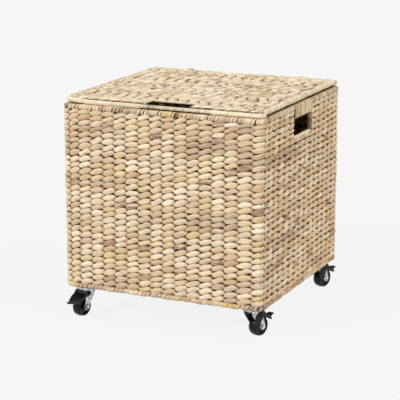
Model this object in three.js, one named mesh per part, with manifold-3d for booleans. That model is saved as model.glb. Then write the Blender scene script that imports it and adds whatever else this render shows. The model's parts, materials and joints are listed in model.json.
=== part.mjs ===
// Lidded storage box woven in water hyacinth over a welded steel rod frame, on four braked swivel casters.
// Millimetres. X runs left to right, Y front to back, Z up. The origin is on the floor, under the centre.
import * as THREE from "three";
import { mergeVertices } from "three/addons/utils/BufferGeometryUtils.js";
import Module from "manifold-3d";

const wasm = await Module();
wasm.setup();

// Basket
const BASKET_WIDTH = 400;
const BASKET_DEPTH = 394;
const BASKET_HEIGHT = 350; // from the bottom edge to the top of the rim
const GROUND_CLEARANCE = 58; // from the floor to the basket's bottom edge
const WALL = 11;
const CORNER_RADIUS = 9;
const FLOOR_THICKNESS = 9;
const SEAT_GAP = 0.3; // between pieces that rest on or against each other
const CUT_PAST = 1; // how far a cutting block runs past the face that it cuts

// Steel rod frame
const RING_ROD = 5;
const UPRIGHT_ROD = 4;
const FLOOR_ROD = 3;
const FRONT_UPRIGHTS = 3; // in the front wall, and as many in the back wall
const SIDE_UPRIGHT_SPREAD = 197; // between the two uprights of a side wall
const FLOOR_ROD_SPACING = 84;
const FLOOR_RODS = 3; // each way

// Bindings
const WRAP_SHELL = 2.2; // strand thickness over a rod
const RIM_HEIGHT = 10.5;
const RIM_CROWN = 4.6; // height of the rim's rounded top
const BASE_HEIGHT = 10;
const BASE_ROUND = 3;

// Side hand holes
const HOLE_WIDTH = 80;
const HOLE_HEIGHT = 35;
const HANDLE_HEIGHT = 26; // from the top of the hole to the top of the rim
const HANDLE_LENGTH = 88;
const HANDLE_PROUD = 0.6; // how far the handle's binding stands out of the wall
const HANDLE_ROUND = 3.5;

// Lid, flush with the basket's back
const LID_SIDE_INSET = 1.5; // from each side of the basket
const LID_FRONT_INSET = 6; // from the basket's front
const LID_BORDER = 11; // diameter of the bound edge
const LID_PANEL = 8;
const LID_ROD = 4;
const LID_CROSS_ROD = 3;
const LID_CROSS_SPACING = 100;
const LID_CROSS_RODS = 3;
const LID_CORNER_RADIUS = 13;

// Finger slot in the lid, behind its front border
const SLOT_CENTRE = 8; // to the right of the middle
const SLOT_LENGTH = 90;
const SLOT_DEPTH = 30;
const SLOT_BINDING = 5;

// Cane loops that tie the lid's rear border to the rim
const LOOP_SPREAD = 240;
const LOOP_WIDTH = 12;
const LOOP_BAND = 2.4;
const LOOP_CLEARANCE = 0.4;
const WINDOW_CLEARANCE = 0.5;

// Caster carrier plates
const PLATE_SIZE = 56;
const PLATE_THICKNESS = 3;
const PLATE_OUTER_CHAMFER = 8;
const PLATE_INNER_CHAMFER = 22;
const CASTER_INSET = 30; // from the basket's faces to the swivel axis

// Caster
const WHEEL_DIAMETER = 38;
const WHEEL_WIDTH = 17;
const TYRE_INNER_RADIUS = 13;
const HUB_RADIUS = 6.5;
const WEB_THICKNESS = 9;
const HUB_DRAFT = 0.5;
const TYRE_DRAFT = 0.8;
const TYRE_LIP = 0.6; // how far the tyre's inner lip lies behind its side
const TREAD_SHOULDER = 2.6; // radial depth of the tread's rounded edge
const TREAD_EDGE = 3.2; // width of the tread's rounded edge
const TREAD_CROWN = 0.7; // rise from that edge to the middle
const TRAIL = 16; // from the swivel axis to the axle
const AXLE_DIAMETER = 5;
const AXLE_HEAD_RADIUS = 4.4;
const AXLE_HEAD = 2;
const AXLE_HEAD_CHAMFER = 0.9;
const AXLE_NUT_RADIUS = 4.6;
const AXLE_NUT = 3;
const THREAD_END = 1; // thread that shows beyond a nut
const RUNNING_CLEARANCE = 0.3; // radial, between a pin and its hole
const WHEEL_SIDE_CLEARANCE = 1.2;
const FORK_SHEET = 1.8;
const FORK_PLATE_RADIUS = 16;
const FORK_FRONT = 12.5; // from the swivel axis to the leg's front edge
const FORK_REAR = 13;
const FORK_SHOULDER = 5; // upright part of the leg's edges under the plate
const FORK_EYE_RADIUS = 6.4;
const STEM_DIAMETER = 8;
const STEM_BEVEL = 0.8;
const STEM_NUT_RADIUS = 7.5;
const STEM_NUT = 5;
const NUT_POCKET_CLEARANCE = 0.9; // radial, in the woven floor's underside
const KING_PIN_RADIUS = 6.5;
const KING_PIN_HEAD = 2.2;
const RACE_RADIUS = 15.5;
const RACE_SHEET = 1.8;
const RACE_SKIRT = 5.6;
const BALL_DIAMETER = 4;
const BALL_CIRCLE_RADIUS = 10.8;

// Brake pedal
const BRAKE_GAP = 4.2; // between the released pedal's shoe and the tread
const PEDAL_SHEET = 1.8;
const PEDAL_SIDE_CLEARANCE = 0.5;
const PEDAL_PIVOT_X = 9;
const PEDAL_PIVOT_Z = 44;
const PEDAL_EYE_RADIUS = 4.5;
const PEDAL_PIN_RADIUS = 2.2;
const PEDAL_EYE_START = 75; // degrees round the pivot
const PEDAL_EYE_END = 250;
const PEDAL_SKIRT = 3.2; // how far the cheeks reach inside the shoe
const SHOE_START = 24; // degrees round the wheel, from level behind the axle
const SHOE_END = 80;
const TAB_REACH = 51; // from the swivel axis
const TAB_BEND = 41; // from the swivel axis to where the tab turns level
const TAB_RISE = 3.4;
const TAB_WIDTH = 16;
const TAB_CORNER = 4;

// Directions in which the casters trail, in degrees from +X towards +Y
const CASTERS = [
  { place: "front_left", sideX: -1, sideY: -1, heading: 260 },
  { place: "front_right", sideX: 1, sideY: -1, heading: 72 },
  { place: "back_right", sideX: 1, sideY: 1, heading: 72 },
  { place: "back_left", sideX: -1, sideY: 1, heading: 260 },
];

// Facets
const ROD_SIDES = 8;
const THIN_ROD_SIDES = 6;
const ROUND_SIDES = 20;
const SMALL_SIDES = 12;
const BALL_RING_SIDES = 16;
const HEX = 6;
const BORDER_STEPS = 10;
const CROWN_STEPS = 4;
const PEDAL_STEPS = 6;
const EYE_STEPS = 5;
const CORNER_STEPS = 3;
const MIN_RADIUS = 0.8;
const WELD = 1e-4; // corners closer than this are one

// Places that follow from the sizes above
const HALF_WIDTH = BASKET_WIDTH / 2;
const HALF_DEPTH = BASKET_DEPTH / 2;
const BASE_Z = GROUND_CLEARANCE;
const RIM_Z = BASE_Z + BASKET_HEIGHT;
const ROD_INSET = WALL / 2; // the rods run in the middle of the wall
const FRAME_BOTTOM_Z = BASE_Z + WRAP_SHELL + SEAT_GAP;
const BOTTOM_RING_Z = FRAME_BOTTOM_Z + RING_ROD / 2;
const TOP_RING_Z = RIM_Z - WRAP_SHELL - SEAT_GAP - RING_ROD / 2;
const PLATE_TOP_Z = FRAME_BOTTOM_Z + PLATE_THICKNESS;
const FLOOR_Z = Math.max(PLATE_TOP_Z, FRAME_BOTTOM_Z + FLOOR_ROD) + SEAT_GAP;
const WALL_BOTTOM_Z = BASE_Z + BASE_HEIGHT + SEAT_GAP;
const WALL_TOP_Z = RIM_Z - RIM_HEIGHT - SEAT_GAP;
const HOLE_TOP_Z = RIM_Z - HANDLE_HEIGHT;
const HOLE_BOTTOM_Z = HOLE_TOP_Z - HOLE_HEIGHT;
const LID_WIDTH = BASKET_WIDTH - 2 * LID_SIDE_INSET;
const LID_DEPTH = BASKET_DEPTH - LID_FRONT_INSET;
const BORDER_RADIUS = LID_BORDER / 2;
const LID_Z = RIM_Z + SEAT_GAP + BORDER_RADIUS; // middle of the lid's thickness
const LID_BACK = HALF_DEPTH;
const LID_CENTRE_Y = LID_BACK - LID_DEPTH / 2;
const LID_FRONT = LID_BACK - LID_DEPTH;
const HINGE_Y = LID_BACK - BORDER_RADIUS;
const SLOT_FRONT = LID_FRONT + LID_BORDER;
const SLOT_BACK = SLOT_FRONT + SLOT_DEPTH;
const STEM_RADIUS = STEM_DIAMETER / 2;
const STEM_HOLE = STEM_RADIUS + RUNNING_CLEARANCE;
const STEM_TOP_Z = PLATE_TOP_Z + SEAT_GAP + STEM_NUT + THREAD_END;
const CASTER_X = HALF_WIDTH - CASTER_INSET;
const CASTER_Y = HALF_DEPTH - CASTER_INSET;

// Turns a closed geometry into a solid with its faces pointing out.
function solidOf(geometry) {
  const bare = geometry.clone();
  bare.deleteAttribute("normal");
  bare.deleteAttribute("uv");
  const merged = mergeVertices(bare, WELD);
  const corners = merged.index.array;
  const kept = [];
  for (let i = 0; i < corners.length; i += 3) {
    const [a, b, c] = [corners[i], corners[i + 1], corners[i + 2]];
    if (a !== b && b !== c && c !== a) kept.push(a, b, c);
  }
  const mesh = (order) =>
    new wasm.Mesh({
      numProp: 3,
      vertProperties: merged.attributes.position.array,
      triVerts: new Uint32Array(order),
    });
  const solid = new wasm.Manifold(mesh(kept));
  return solid.volume() > 0 ? solid : new wasm.Manifold(mesh(kept.reverse()));
}

// Turns a solid back into a geometry for a mesh.
function geometryOf(solid) {
  const mesh = solid.getMesh();
  const geometry = new THREE.BufferGeometry();
  geometry.setAttribute("position", new THREE.BufferAttribute(mesh.vertProperties, 3));
  geometry.setIndex(new THREE.BufferAttribute(mesh.triVerts, 1));
  geometry.computeVertexNormals();
  return geometry;
}

const join = (solids) => solids.reduce((sum, solid) => sum.add(solid));
const cut = (solid, tools) => tools.reduce((rest, tool) => rest.subtract(tool), solid);

function block(x0, x1, y0, y1, z0, z1) {
  const box = new THREE.BoxGeometry(x1 - x0, y1 - y0, z1 - z0);
  return solidOf(box.translate((x0 + x1) / 2, (y0 + y1) / 2, (z0 + z1) / 2));
}

// A round rod between two points.
function rod(from, to, diameter, sides = ROD_SIDES) {
  const start = new THREE.Vector3(...from);
  const run = new THREE.Vector3(...to).sub(start);
  const cylinder = new THREE.CylinderGeometry(diameter / 2, diameter / 2, run.length(), sides);
  const turn = new THREE.Quaternion().setFromUnitVectors(
    new THREE.Vector3(0, 1, 0),
    run.clone().normalize(),
  );
  cylinder.applyQuaternion(turn).translate(...start.addScaledVector(run, 0.5).toArray());
  return solidOf(cylinder);
}

// A plan outline raised from z0 to z1.
function raised(shape, z0, z1, curveSegments = SMALL_SIDES) {
  const settings = { depth: z1 - z0, bevelEnabled: false, curveSegments };
  return solidOf(new THREE.ExtrudeGeometry(shape, settings).translate(0, 0, z0));
}

// An outline drawn in Y and Z, run along X from x0 to x1.
function alongX(shape, x0, x1, curveSegments = SMALL_SIDES) {
  const settings = { depth: x1 - x0, bevelEnabled: false, curveSegments };
  const axes = new THREE.Matrix4().makeBasis(
    new THREE.Vector3(0, 1, 0),
    new THREE.Vector3(0, 0, 1),
    new THREE.Vector3(1, 0, 0),
  );
  return solidOf(new THREE.ExtrudeGeometry(shape, settings).applyMatrix4(axes).translate(x0, 0, 0));
}

// An outline drawn in X and Z, run along Y from y0 to y1.
function alongY(shape, y0, y1, curveSegments = SMALL_SIDES) {
  const settings = { depth: y1 - y0, bevelEnabled: false, curveSegments };
  const axes = new THREE.Matrix4().makeBasis(
    new THREE.Vector3(1, 0, 0),
    new THREE.Vector3(0, 0, 1),
    new THREE.Vector3(0, -1, 0),
  );
  return solidOf(new THREE.ExtrudeGeometry(shape, settings).applyMatrix4(axes).translate(0, y1, 0));
}

// A profile of [radius, height] points turned round the Z axis. A profile off the axis closes on itself.
function turned(profile, sides) {
  const points = profile.map(([radius, height]) => new THREE.Vector2(radius, height));
  if (profile[0][0] > 0) points.push(points[0].clone());
  return solidOf(new THREE.LatheGeometry(points, sides).rotateX(Math.PI / 2));
}

// A closed outline, taken counter-clockwise whichever way its points are listed.
function outline(points) {
  const corners = points.map(([a, b]) => new THREE.Vector2(a, b));
  return new THREE.Shape(THREE.ShapeUtils.isClockWise(corners) ? corners.reverse() : corners);
}

function circleHole(x, y, radius) {
  const hole = new THREE.Path();
  hole.absarc(x, y, radius, 0, 2 * Math.PI, true);
  return hole;
}

// Points of a rectangle with rounded corners, counter-clockwise, as many for every radius.
function roundedRectangle(halfX, halfY, radius) {
  const r = Math.max(radius, MIN_RADIUS);
  const points = [];
  const corners = [
    [1, 1],
    [-1, 1],
    [-1, -1],
    [1, -1],
  ];
  corners.forEach(([sideX, sideY], quarter) => {
    for (let step = 0; step <= CORNER_STEPS; step++) {
      const angle = ((quarter + step / CORNER_STEPS) * Math.PI) / 2;
      points.push([
        sideX * (halfX - r) + r * Math.cos(angle),
        sideY * (halfY - r) + r * Math.sin(angle),
      ]);
    }
  });
  return points;
}

// A closed profile of [inset, z] points carried round a rounded rectangle.
function ring(profile, halfX, halfY, radius, centreY = 0) {
  const positions = [];
  const loops = profile.map(([inset, z]) =>
    roundedRectangle(halfX - inset, halfY - inset, radius - inset).map(([x, y]) => [x, y + centreY, z]),
  );
  const across = loops.length;
  const along = loops[0].length;
  for (let i = 0; i < across; i++) {
    for (let j = 0; j < along; j++) {
      const a = loops[i][j];
      const b = loops[(i + 1) % across][j];
      const c = loops[(i + 1) % across][(j + 1) % along];
      const d = loops[i][(j + 1) % along];
      positions.push(...a, ...b, ...c, ...a, ...c, ...d);
    }
  }
  const geometry = new THREE.BufferGeometry();
  geometry.setAttribute("position", new THREE.Float32BufferAttribute(positions, 3));
  return solidOf(geometry);
}

// Profile of a round rod for a ring, as [inset, z] points.
function rodProfile(inset, z, diameter) {
  return Array.from({ length: ROD_SIDES }, (_, i) => {
    const angle = ((i + 0.5) * 2 * Math.PI) / ROD_SIDES;
    return [inset + (diameter / 2) * Math.cos(angle), z + (diameter / 2) * Math.sin(angle)];
  });
}

// Evenly spaced places either side of zero.
function spread(count, spacing) {
  return Array.from({ length: count }, (_, i) => (i - (count - 1) / 2) * spacing);
}

const CORNER_ROD_RADIUS = Math.max(CORNER_RADIUS - ROD_INSET, MIN_RADIUS);
const POST_INSET = ROD_INSET + CORNER_ROD_RADIUS * (1 - Math.SQRT1_2);
const POST_X = HALF_WIDTH - POST_INSET;
const POST_Y = HALF_DEPTH - POST_INSET;
const FRONT_UPRIGHT_X = spread(FRONT_UPRIGHTS, BASKET_WIDTH / (FRONT_UPRIGHTS + 1));
const SIDE_UPRIGHT_Y = [-SIDE_UPRIGHT_SPREAD / 2, SIDE_UPRIGHT_SPREAD / 2];
const ROD_X = HALF_WIDTH - ROD_INSET;
const ROD_Y = HALF_DEPTH - ROD_INSET;

function steelFrame() {
  const ringAt = (z) =>
    ring(rodProfile(ROD_INSET, z, RING_ROD), HALF_WIDTH, HALF_DEPTH, CORNER_RADIUS);
  const upright = (x, y, diameter) => rod([x, y, BOTTOM_RING_Z], [x, y, TOP_RING_Z], diameter);
  const pieces = [ringAt(BOTTOM_RING_Z), ringAt(TOP_RING_Z)];
  for (const side of [-1, 1]) {
    pieces.push(upright(-POST_X, side * POST_Y, RING_ROD), upright(POST_X, side * POST_Y, RING_ROD));
    FRONT_UPRIGHT_X.forEach((x) => pieces.push(upright(x, side * ROD_Y, UPRIGHT_ROD)));
    SIDE_UPRIGHT_Y.forEach((y) => pieces.push(upright(side * ROD_X, y, UPRIGHT_ROD)));
  }
  const rodZ = FRAME_BOTTOM_Z + FLOOR_ROD / 2;
  for (const place of spread(FLOOR_RODS, FLOOR_ROD_SPACING)) {
    pieces.push(rod([-ROD_X, place, rodZ], [ROD_X, place, rodZ], FLOOR_ROD, THIN_ROD_SIDES));
    pieces.push(rod([place, -ROD_Y, rodZ], [place, ROD_Y, rodZ], FLOOR_ROD, THIN_ROD_SIDES));
  }
  return join(pieces);
}

// The front wall holds the corner posts and turns round both corners. The back wall mirrors it.
function endWall(side) {
  const corner = CORNER_RADIUS;
  const shape = new THREE.Shape();
  shape.moveTo(-HALF_WIDTH, WALL - HALF_DEPTH);
  shape.lineTo(-HALF_WIDTH, corner - HALF_DEPTH);
  shape.absarc(corner - HALF_WIDTH, corner - HALF_DEPTH, corner, Math.PI, 1.5 * Math.PI, false);
  shape.lineTo(HALF_WIDTH - corner, -HALF_DEPTH);
  shape.absarc(HALF_WIDTH - corner, corner - HALF_DEPTH, corner, 1.5 * Math.PI, 2 * Math.PI, false);
  shape.lineTo(HALF_WIDTH, WALL - HALF_DEPTH);
  const uprightHole = UPRIGHT_ROD / 2 + SEAT_GAP;
  const postHole = RING_ROD / 2 + SEAT_GAP;
  FRONT_UPRIGHT_X.forEach((x) => shape.holes.push(circleHole(x, -ROD_Y, uprightHole)));
  [-POST_X, POST_X].forEach((x) => shape.holes.push(circleHole(x, -POST_Y, postHole)));
  const settings = {
    depth: WALL_TOP_Z - WALL_BOTTOM_Z,
    bevelEnabled: false,
    curveSegments: ROD_SIDES / 2,
  };
  const slab = new THREE.ExtrudeGeometry(shape, settings).translate(0, 0, WALL_BOTTOM_Z);
  return solidOf(side < 0 ? slab : slab.rotateZ(Math.PI));
}

const LOOP_X = [-LOOP_SPREAD / 2, LOOP_SPREAD / 2];
const LOOP_INNER = BORDER_RADIUS + LOOP_CLEARANCE;
const LOOP_OUTER = LOOP_INNER + LOOP_BAND;
const LOOP_SEAT_Z = RIM_Z - RIM_HEIGHT - LOOP_CLEARANCE;

// The back wall is notched where the hinge loops pass under the rim's binding.
function backWall() {
  const notches = LOOP_X.map((x) =>
    block(
      x - LOOP_WIDTH / 2 - SEAT_GAP,
      x + LOOP_WIDTH / 2 + SEAT_GAP,
      HALF_DEPTH - WALL - CUT_PAST,
      HALF_DEPTH + CUT_PAST,
      LOOP_SEAT_Z - LOOP_BAND - SEAT_GAP,
      WALL_TOP_Z + CUT_PAST,
    ),
  );
  return cut(endWall(1), notches);
}

// A side wall stands between the end walls and leaves room for the hand hole and its bound handle.
function sideWall(side) {
  const inner = HALF_WIDTH - WALL;
  const halfLength = HALF_DEPTH - WALL - SEAT_GAP;
  const shape = outline([
    [inner, -halfLength],
    [HALF_WIDTH, -halfLength],
    [HALF_WIDTH, halfLength],
    [inner, halfLength],
  ]);
  const hole = UPRIGHT_ROD / 2 + SEAT_GAP;
  SIDE_UPRIGHT_Y.forEach((y) => shape.holes.push(circleHole(ROD_X, y, hole)));
  const slab = raised(shape, WALL_BOTTOM_Z, WALL_TOP_Z, ROD_SIDES / 2);
  const through = (half, bottom) =>
    block(inner - CUT_PAST, HALF_WIDTH + CUT_PAST, -half, half, bottom, WALL_TOP_Z + CUT_PAST);
  const wall = cut(slab, [
    through(HOLE_WIDTH / 2, HOLE_BOTTOM_Z),
    through(HANDLE_LENGTH / 2 + SEAT_GAP, HOLE_TOP_Z - SEAT_GAP),
  ]);
  return side > 0 ? wall : wall.rotate([0, 0, 180]);
}

function wovenFloor() {
  const halfX = HALF_WIDTH - WALL - SEAT_GAP;
  const halfY = HALF_DEPTH - WALL - SEAT_GAP;
  const slab = block(-halfX, halfX, -halfY, halfY, FLOOR_Z, FLOOR_Z + FLOOR_THICKNESS);
  const pocket = 2 * (STEM_NUT_RADIUS + NUT_POCKET_CLEARANCE);
  const pockets = CASTERS.map(({ sideX, sideY }) => {
    const [x, y] = [sideX * CASTER_X, sideY * CASTER_Y];
    return rod([x, y, FLOOR_Z - CUT_PAST], [x, y, STEM_TOP_Z + SEAT_GAP], pocket, SMALL_SIDES);
  });
  return cut(slab, pockets);
}

// Binding round the rim ring, open below where the uprights come in, and broken by the two handles.
function rimWrap(side) {
  const channel = RING_ROD / 2 + SEAT_GAP;
  const low = RIM_Z - RIM_HEIGHT;
  const crown = Array.from({ length: CROWN_STEPS + 1 }, (_, i) => {
    const angle = (Math.PI * i) / CROWN_STEPS;
    return [(WALL / 2) * (1 - Math.cos(angle)), RIM_Z - RIM_CROWN * (1 - Math.sin(angle))];
  });
  const profile = [
    [0, low],
    ...crown,
    [WALL, low],
    [ROD_INSET + channel, low],
    [ROD_INSET + channel, TOP_RING_Z + channel],
    [ROD_INSET - channel, TOP_RING_Z + channel],
    [ROD_INSET - channel, low],
  ];
  const whole = ring(profile, HALF_WIDTH, HALF_DEPTH, CORNER_RADIUS);
  const end = HANDLE_LENGTH / 2 + SEAT_GAP;
  const [y0, y1] = side < 0 ? [-BASKET_DEPTH, -end] : [end, BASKET_DEPTH];
  return whole.intersect(block(-BASKET_WIDTH, BASKET_WIDTH, y0, y1, low - CUT_PAST, RIM_Z + CUT_PAST));
}

// Binding round the outside and underside of the bottom ring.
function baseWrap() {
  const top = BASE_Z + BASE_HEIGHT;
  const slope = BASE_ROUND * (1 - Math.SQRT1_2);
  const profile = [
    [0, top],
    [0, BASE_Z + BASE_ROUND],
    [slope, BASE_Z + slope],
    [BASE_ROUND, BASE_Z],
    [WALL, BASE_Z],
    [WALL, BASE_Z + WRAP_SHELL],
    [WRAP_SHELL, BASE_Z + WRAP_SHELL],
    [WRAP_SHELL, top],
  ];
  return ring(profile, HALF_WIDTH, HALF_DEPTH, CORNER_RADIUS);
}

// Flat strand wound over the rim above a hand hole, with the rim ring running through it.
function handleWrap(side) {
  const round = HANDLE_ROUND;
  const inner = HALF_WIDTH - WALL - HANDLE_PROUD;
  const outer = HALF_WIDTH + HANDLE_PROUD;
  const shape = new THREE.Shape();
  shape.moveTo(inner + round, HOLE_TOP_Z);
  shape.absarc(outer - round, HOLE_TOP_Z + round, round, -Math.PI / 2, 0, false);
  shape.absarc(outer - round, RIM_Z - round, round, 0, Math.PI / 2, false);
  shape.absarc(inner + round, RIM_Z - round, round, Math.PI / 2, Math.PI, false);
  shape.absarc(inner + round, HOLE_TOP_Z + round, round, Math.PI, 1.5 * Math.PI, false);
  shape.holes.push(circleHole(ROD_X, TOP_RING_Z, RING_ROD / 2 + SEAT_GAP));
  const wrap = alongY(shape, -HANDLE_LENGTH / 2, HANDLE_LENGTH / 2, 4);
  return side > 0 ? wrap : wrap.rotate([0, 0, 180]);
}

function casterPlate({ sideX, sideY }) {
  const near = ROD_INSET + RING_ROD / 2 + SEAT_GAP;
  const far = near + PLATE_SIZE;
  const corners = [
    [near + PLATE_OUTER_CHAMFER, near],
    [far, near],
    [far, far - PLATE_INNER_CHAMFER],
    [far - PLATE_INNER_CHAMFER, far],
    [near, far],
    [near, near + PLATE_OUTER_CHAMFER],
  ];
  const shape = outline(
    corners.map(([x, y]) => [sideX * (HALF_WIDTH - x), sideY * (HALF_DEPTH - y)]),
  );
  shape.holes.push(circleHole(sideX * CASTER_X, sideY * CASTER_Y, STEM_HOLE));
  return raised(shape, FRAME_BOTTOM_Z, PLATE_TOP_Z);
}

// A loop is a flat band that hugs the lid's rear border above and the rim's binding below.
function hingeLoop(x) {
  const band = (reach, bottom) => {
    const shape = new THREE.Shape();
    shape.moveTo(HINGE_Y - reach, bottom);
    shape.lineTo(HINGE_Y + reach, bottom);
    shape.absarc(HINGE_Y, LID_Z, reach, 0, Math.PI, false);
    return shape;
  };
  const shape = band(LOOP_OUTER, LOOP_SEAT_Z - LOOP_BAND);
  shape.holes.push(new THREE.Path(band(LOOP_INNER, LOOP_SEAT_Z).getPoints(SMALL_SIDES)));
  return alongX(shape, x - LOOP_WIDTH / 2, x + LOOP_WIDTH / 2);
}

const CROSS_ROD_Y = spread(LID_CROSS_RODS, LID_CROSS_SPACING).map((y) => y + LID_CENTRE_Y);

function lidFrame() {
  const rodX = LID_WIDTH / 2 - BORDER_RADIUS;
  const edge = ring(
    rodProfile(BORDER_RADIUS, LID_Z, LID_ROD),
    LID_WIDTH / 2,
    LID_DEPTH / 2,
    LID_CORNER_RADIUS,
    LID_CENTRE_Y,
  );
  const cross = CROSS_ROD_Y.map((y) =>
    rod([-rodX, y, LID_Z], [rodX, y, LID_Z], LID_CROSS_ROD, THIN_ROD_SIDES),
  );
  return join([edge, ...cross]);
}

function lidPanel() {
  const inset = LID_BORDER + SEAT_GAP;
  const radius = LID_CORNER_RADIUS - inset;
  const plan = roundedRectangle(LID_WIDTH / 2 - inset, LID_DEPTH / 2 - inset, radius);
  const shape = outline(plan.map(([x, y]) => [x, y + LID_CENTRE_Y]));
  const [low, high] = [LID_Z - LID_PANEL / 2, LID_Z + LID_PANEL / 2];
  const slotHalf = SLOT_LENGTH / 2 + SLOT_BINDING + SEAT_GAP;
  const slot = block(
    SLOT_CENTRE - slotHalf,
    SLOT_CENTRE + slotHalf,
    LID_FRONT,
    SLOT_BACK + SLOT_BINDING + SEAT_GAP,
    low - CUT_PAST,
    high + CUT_PAST,
  );
  const windows = LOOP_X.map((x) =>
    block(
      x - LOOP_WIDTH / 2 - WINDOW_CLEARANCE,
      x + LOOP_WIDTH / 2 + WINDOW_CLEARANCE,
      HINGE_Y - LOOP_OUTER - WINDOW_CLEARANCE,
      LID_BACK,
      low - CUT_PAST,
      high + CUT_PAST,
    ),
  );
  const tunnel = LID_CROSS_ROD + 2 * SEAT_GAP;
  const tunnels = CROSS_ROD_Y.map((y) =>
    rod([-LID_WIDTH / 2, y, LID_Z], [LID_WIDTH / 2, y, LID_Z], tunnel, THIN_ROD_SIDES),
  );
  return cut(raised(shape, low, high), [slot, ...windows, ...tunnels]);
}

// The lid's bound edge, open on its inner side where the cross rods and the panel meet the frame.
function lidBorder() {
  const channel = LID_ROD / 2 + SEAT_GAP;
  const mouth = Math.asin(channel / BORDER_RADIUS);
  const profile = [];
  for (let i = 0; i <= BORDER_STEPS; i++) {
    const angle = mouth + ((2 * Math.PI - 2 * mouth) * i) / BORDER_STEPS;
    profile.push([
      BORDER_RADIUS + BORDER_RADIUS * Math.cos(angle),
      LID_Z + BORDER_RADIUS * Math.sin(angle),
    ]);
  }
  for (let i = 0; i < ROD_SIDES / 2; i++) {
    const angle = -Math.PI / 2 - ((i + 0.5) * 2 * Math.PI) / ROD_SIDES;
    profile.push([BORDER_RADIUS + channel * Math.cos(angle), LID_Z + channel * Math.sin(angle)]);
  }
  return ring(profile, LID_WIDTH / 2, LID_DEPTH / 2, LID_CORNER_RADIUS, LID_CENTRE_Y);
}

function slotBinding() {
  const half = SLOT_LENGTH / 2;
  const front = SLOT_FRONT + SEAT_GAP;
  const shape = outline([
    [SLOT_CENTRE - half - SLOT_BINDING, front],
    [SLOT_CENTRE - half, front],
    [SLOT_CENTRE - half, SLOT_BACK],
    [SLOT_CENTRE + half, SLOT_BACK],
    [SLOT_CENTRE + half, front],
    [SLOT_CENTRE + half + SLOT_BINDING, front],
    [SLOT_CENTRE + half + SLOT_BINDING, SLOT_BACK + SLOT_BINDING],
    [SLOT_CENTRE - half - SLOT_BINDING, SLOT_BACK + SLOT_BINDING],
  ]);
  return raised(shape, LID_Z - LID_PANEL / 2, LID_Z + LID_PANEL / 2);
}

// Caster levels. A caster's own frame has its swivel axis on Z, its floor at zero, and it trails along +X.
const AXLE_Z = WHEEL_DIAMETER / 2;
const WHEEL_RADIUS = WHEEL_DIAMETER / 2;
const AXLE_RADIUS = AXLE_DIAMETER / 2;
const RACE_TOP_Z = FRAME_BOTTOM_Z - SEAT_GAP;
const BALL_Z = RACE_TOP_Z - RACE_SHEET - SEAT_GAP - BALL_DIAMETER / 2;
const FORK_TOP_Z = BALL_Z - BALL_DIAMETER / 2 - SEAT_GAP;
const FORK_SOFFIT_Z = FORK_TOP_Z - FORK_SHEET;
const LEG_INNER = WHEEL_WIDTH / 2 + WHEEL_SIDE_CLEARANCE;
const LEG_OUTER = LEG_INNER + FORK_SHEET;

function stemBolt() {
  const headTop = FORK_SOFFIT_Z - SEAT_GAP;
  return turned(
    [
      [0, headTop - KING_PIN_HEAD],
      [KING_PIN_RADIUS - STEM_BEVEL, headTop - KING_PIN_HEAD],
      [KING_PIN_RADIUS, headTop - KING_PIN_HEAD + STEM_BEVEL],
      [KING_PIN_RADIUS, headTop],
      [STEM_RADIUS, headTop],
      [STEM_RADIUS, STEM_TOP_Z - STEM_BEVEL],
      [STEM_RADIUS - STEM_BEVEL, STEM_TOP_Z],
      [0, STEM_TOP_Z],
    ],
    SMALL_SIDES,
  );
}

// Corners of a regular polygon round a centre, the first one at a given angle.
function polygon(sides, radius, centre, start) {
  return Array.from({ length: sides }, (_, i) => {
    const angle = start + (2 * Math.PI * i) / sides;
    return [centre[0] + radius * Math.cos(angle), centre[1] + radius * Math.sin(angle)];
  });
}

function hexagon(radius, hole) {
  const shape = outline(polygon(HEX, radius, [0, 0], 0));
  shape.holes.push(circleHole(0, 0, hole));
  return shape;
}

function stemNut() {
  const base = PLATE_TOP_Z + SEAT_GAP;
  return raised(hexagon(STEM_NUT_RADIUS, STEM_HOLE), base, base + STEM_NUT, SMALL_SIDES / 2);
}

// The pressed upper race is a cap over the balls.
function swivelHead() {
  const inside = RACE_RADIUS - RACE_SHEET;
  const soffit = RACE_TOP_Z - RACE_SHEET;
  return turned(
    [
      [STEM_HOLE, RACE_TOP_Z],
      [inside, RACE_TOP_Z],
      [RACE_RADIUS, soffit],
      [RACE_RADIUS, RACE_TOP_Z - RACE_SKIRT],
      [inside, RACE_TOP_Z - RACE_SKIRT],
      [inside, soffit],
      [STEM_HOLE, soffit],
    ],
    ROUND_SIDES,
  );
}

function ballRing() {
  const centre = [BALL_CIRCLE_RADIUS, BALL_Z];
  return turned(polygon(HEX, BALL_DIAMETER / 2, centre, Math.PI / HEX), BALL_RING_SIDES);
}

// Direction from the axle in which a straight edge from a point touches the round end of a fork leg.
function edgeMeetsEye(x, z, side) {
  const [dx, dz] = [x - TRAIL, z - AXLE_Z];
  return Math.atan2(dz, dx) + side * Math.acos(FORK_EYE_RADIUS / Math.hypot(dx, dz));
}

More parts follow.
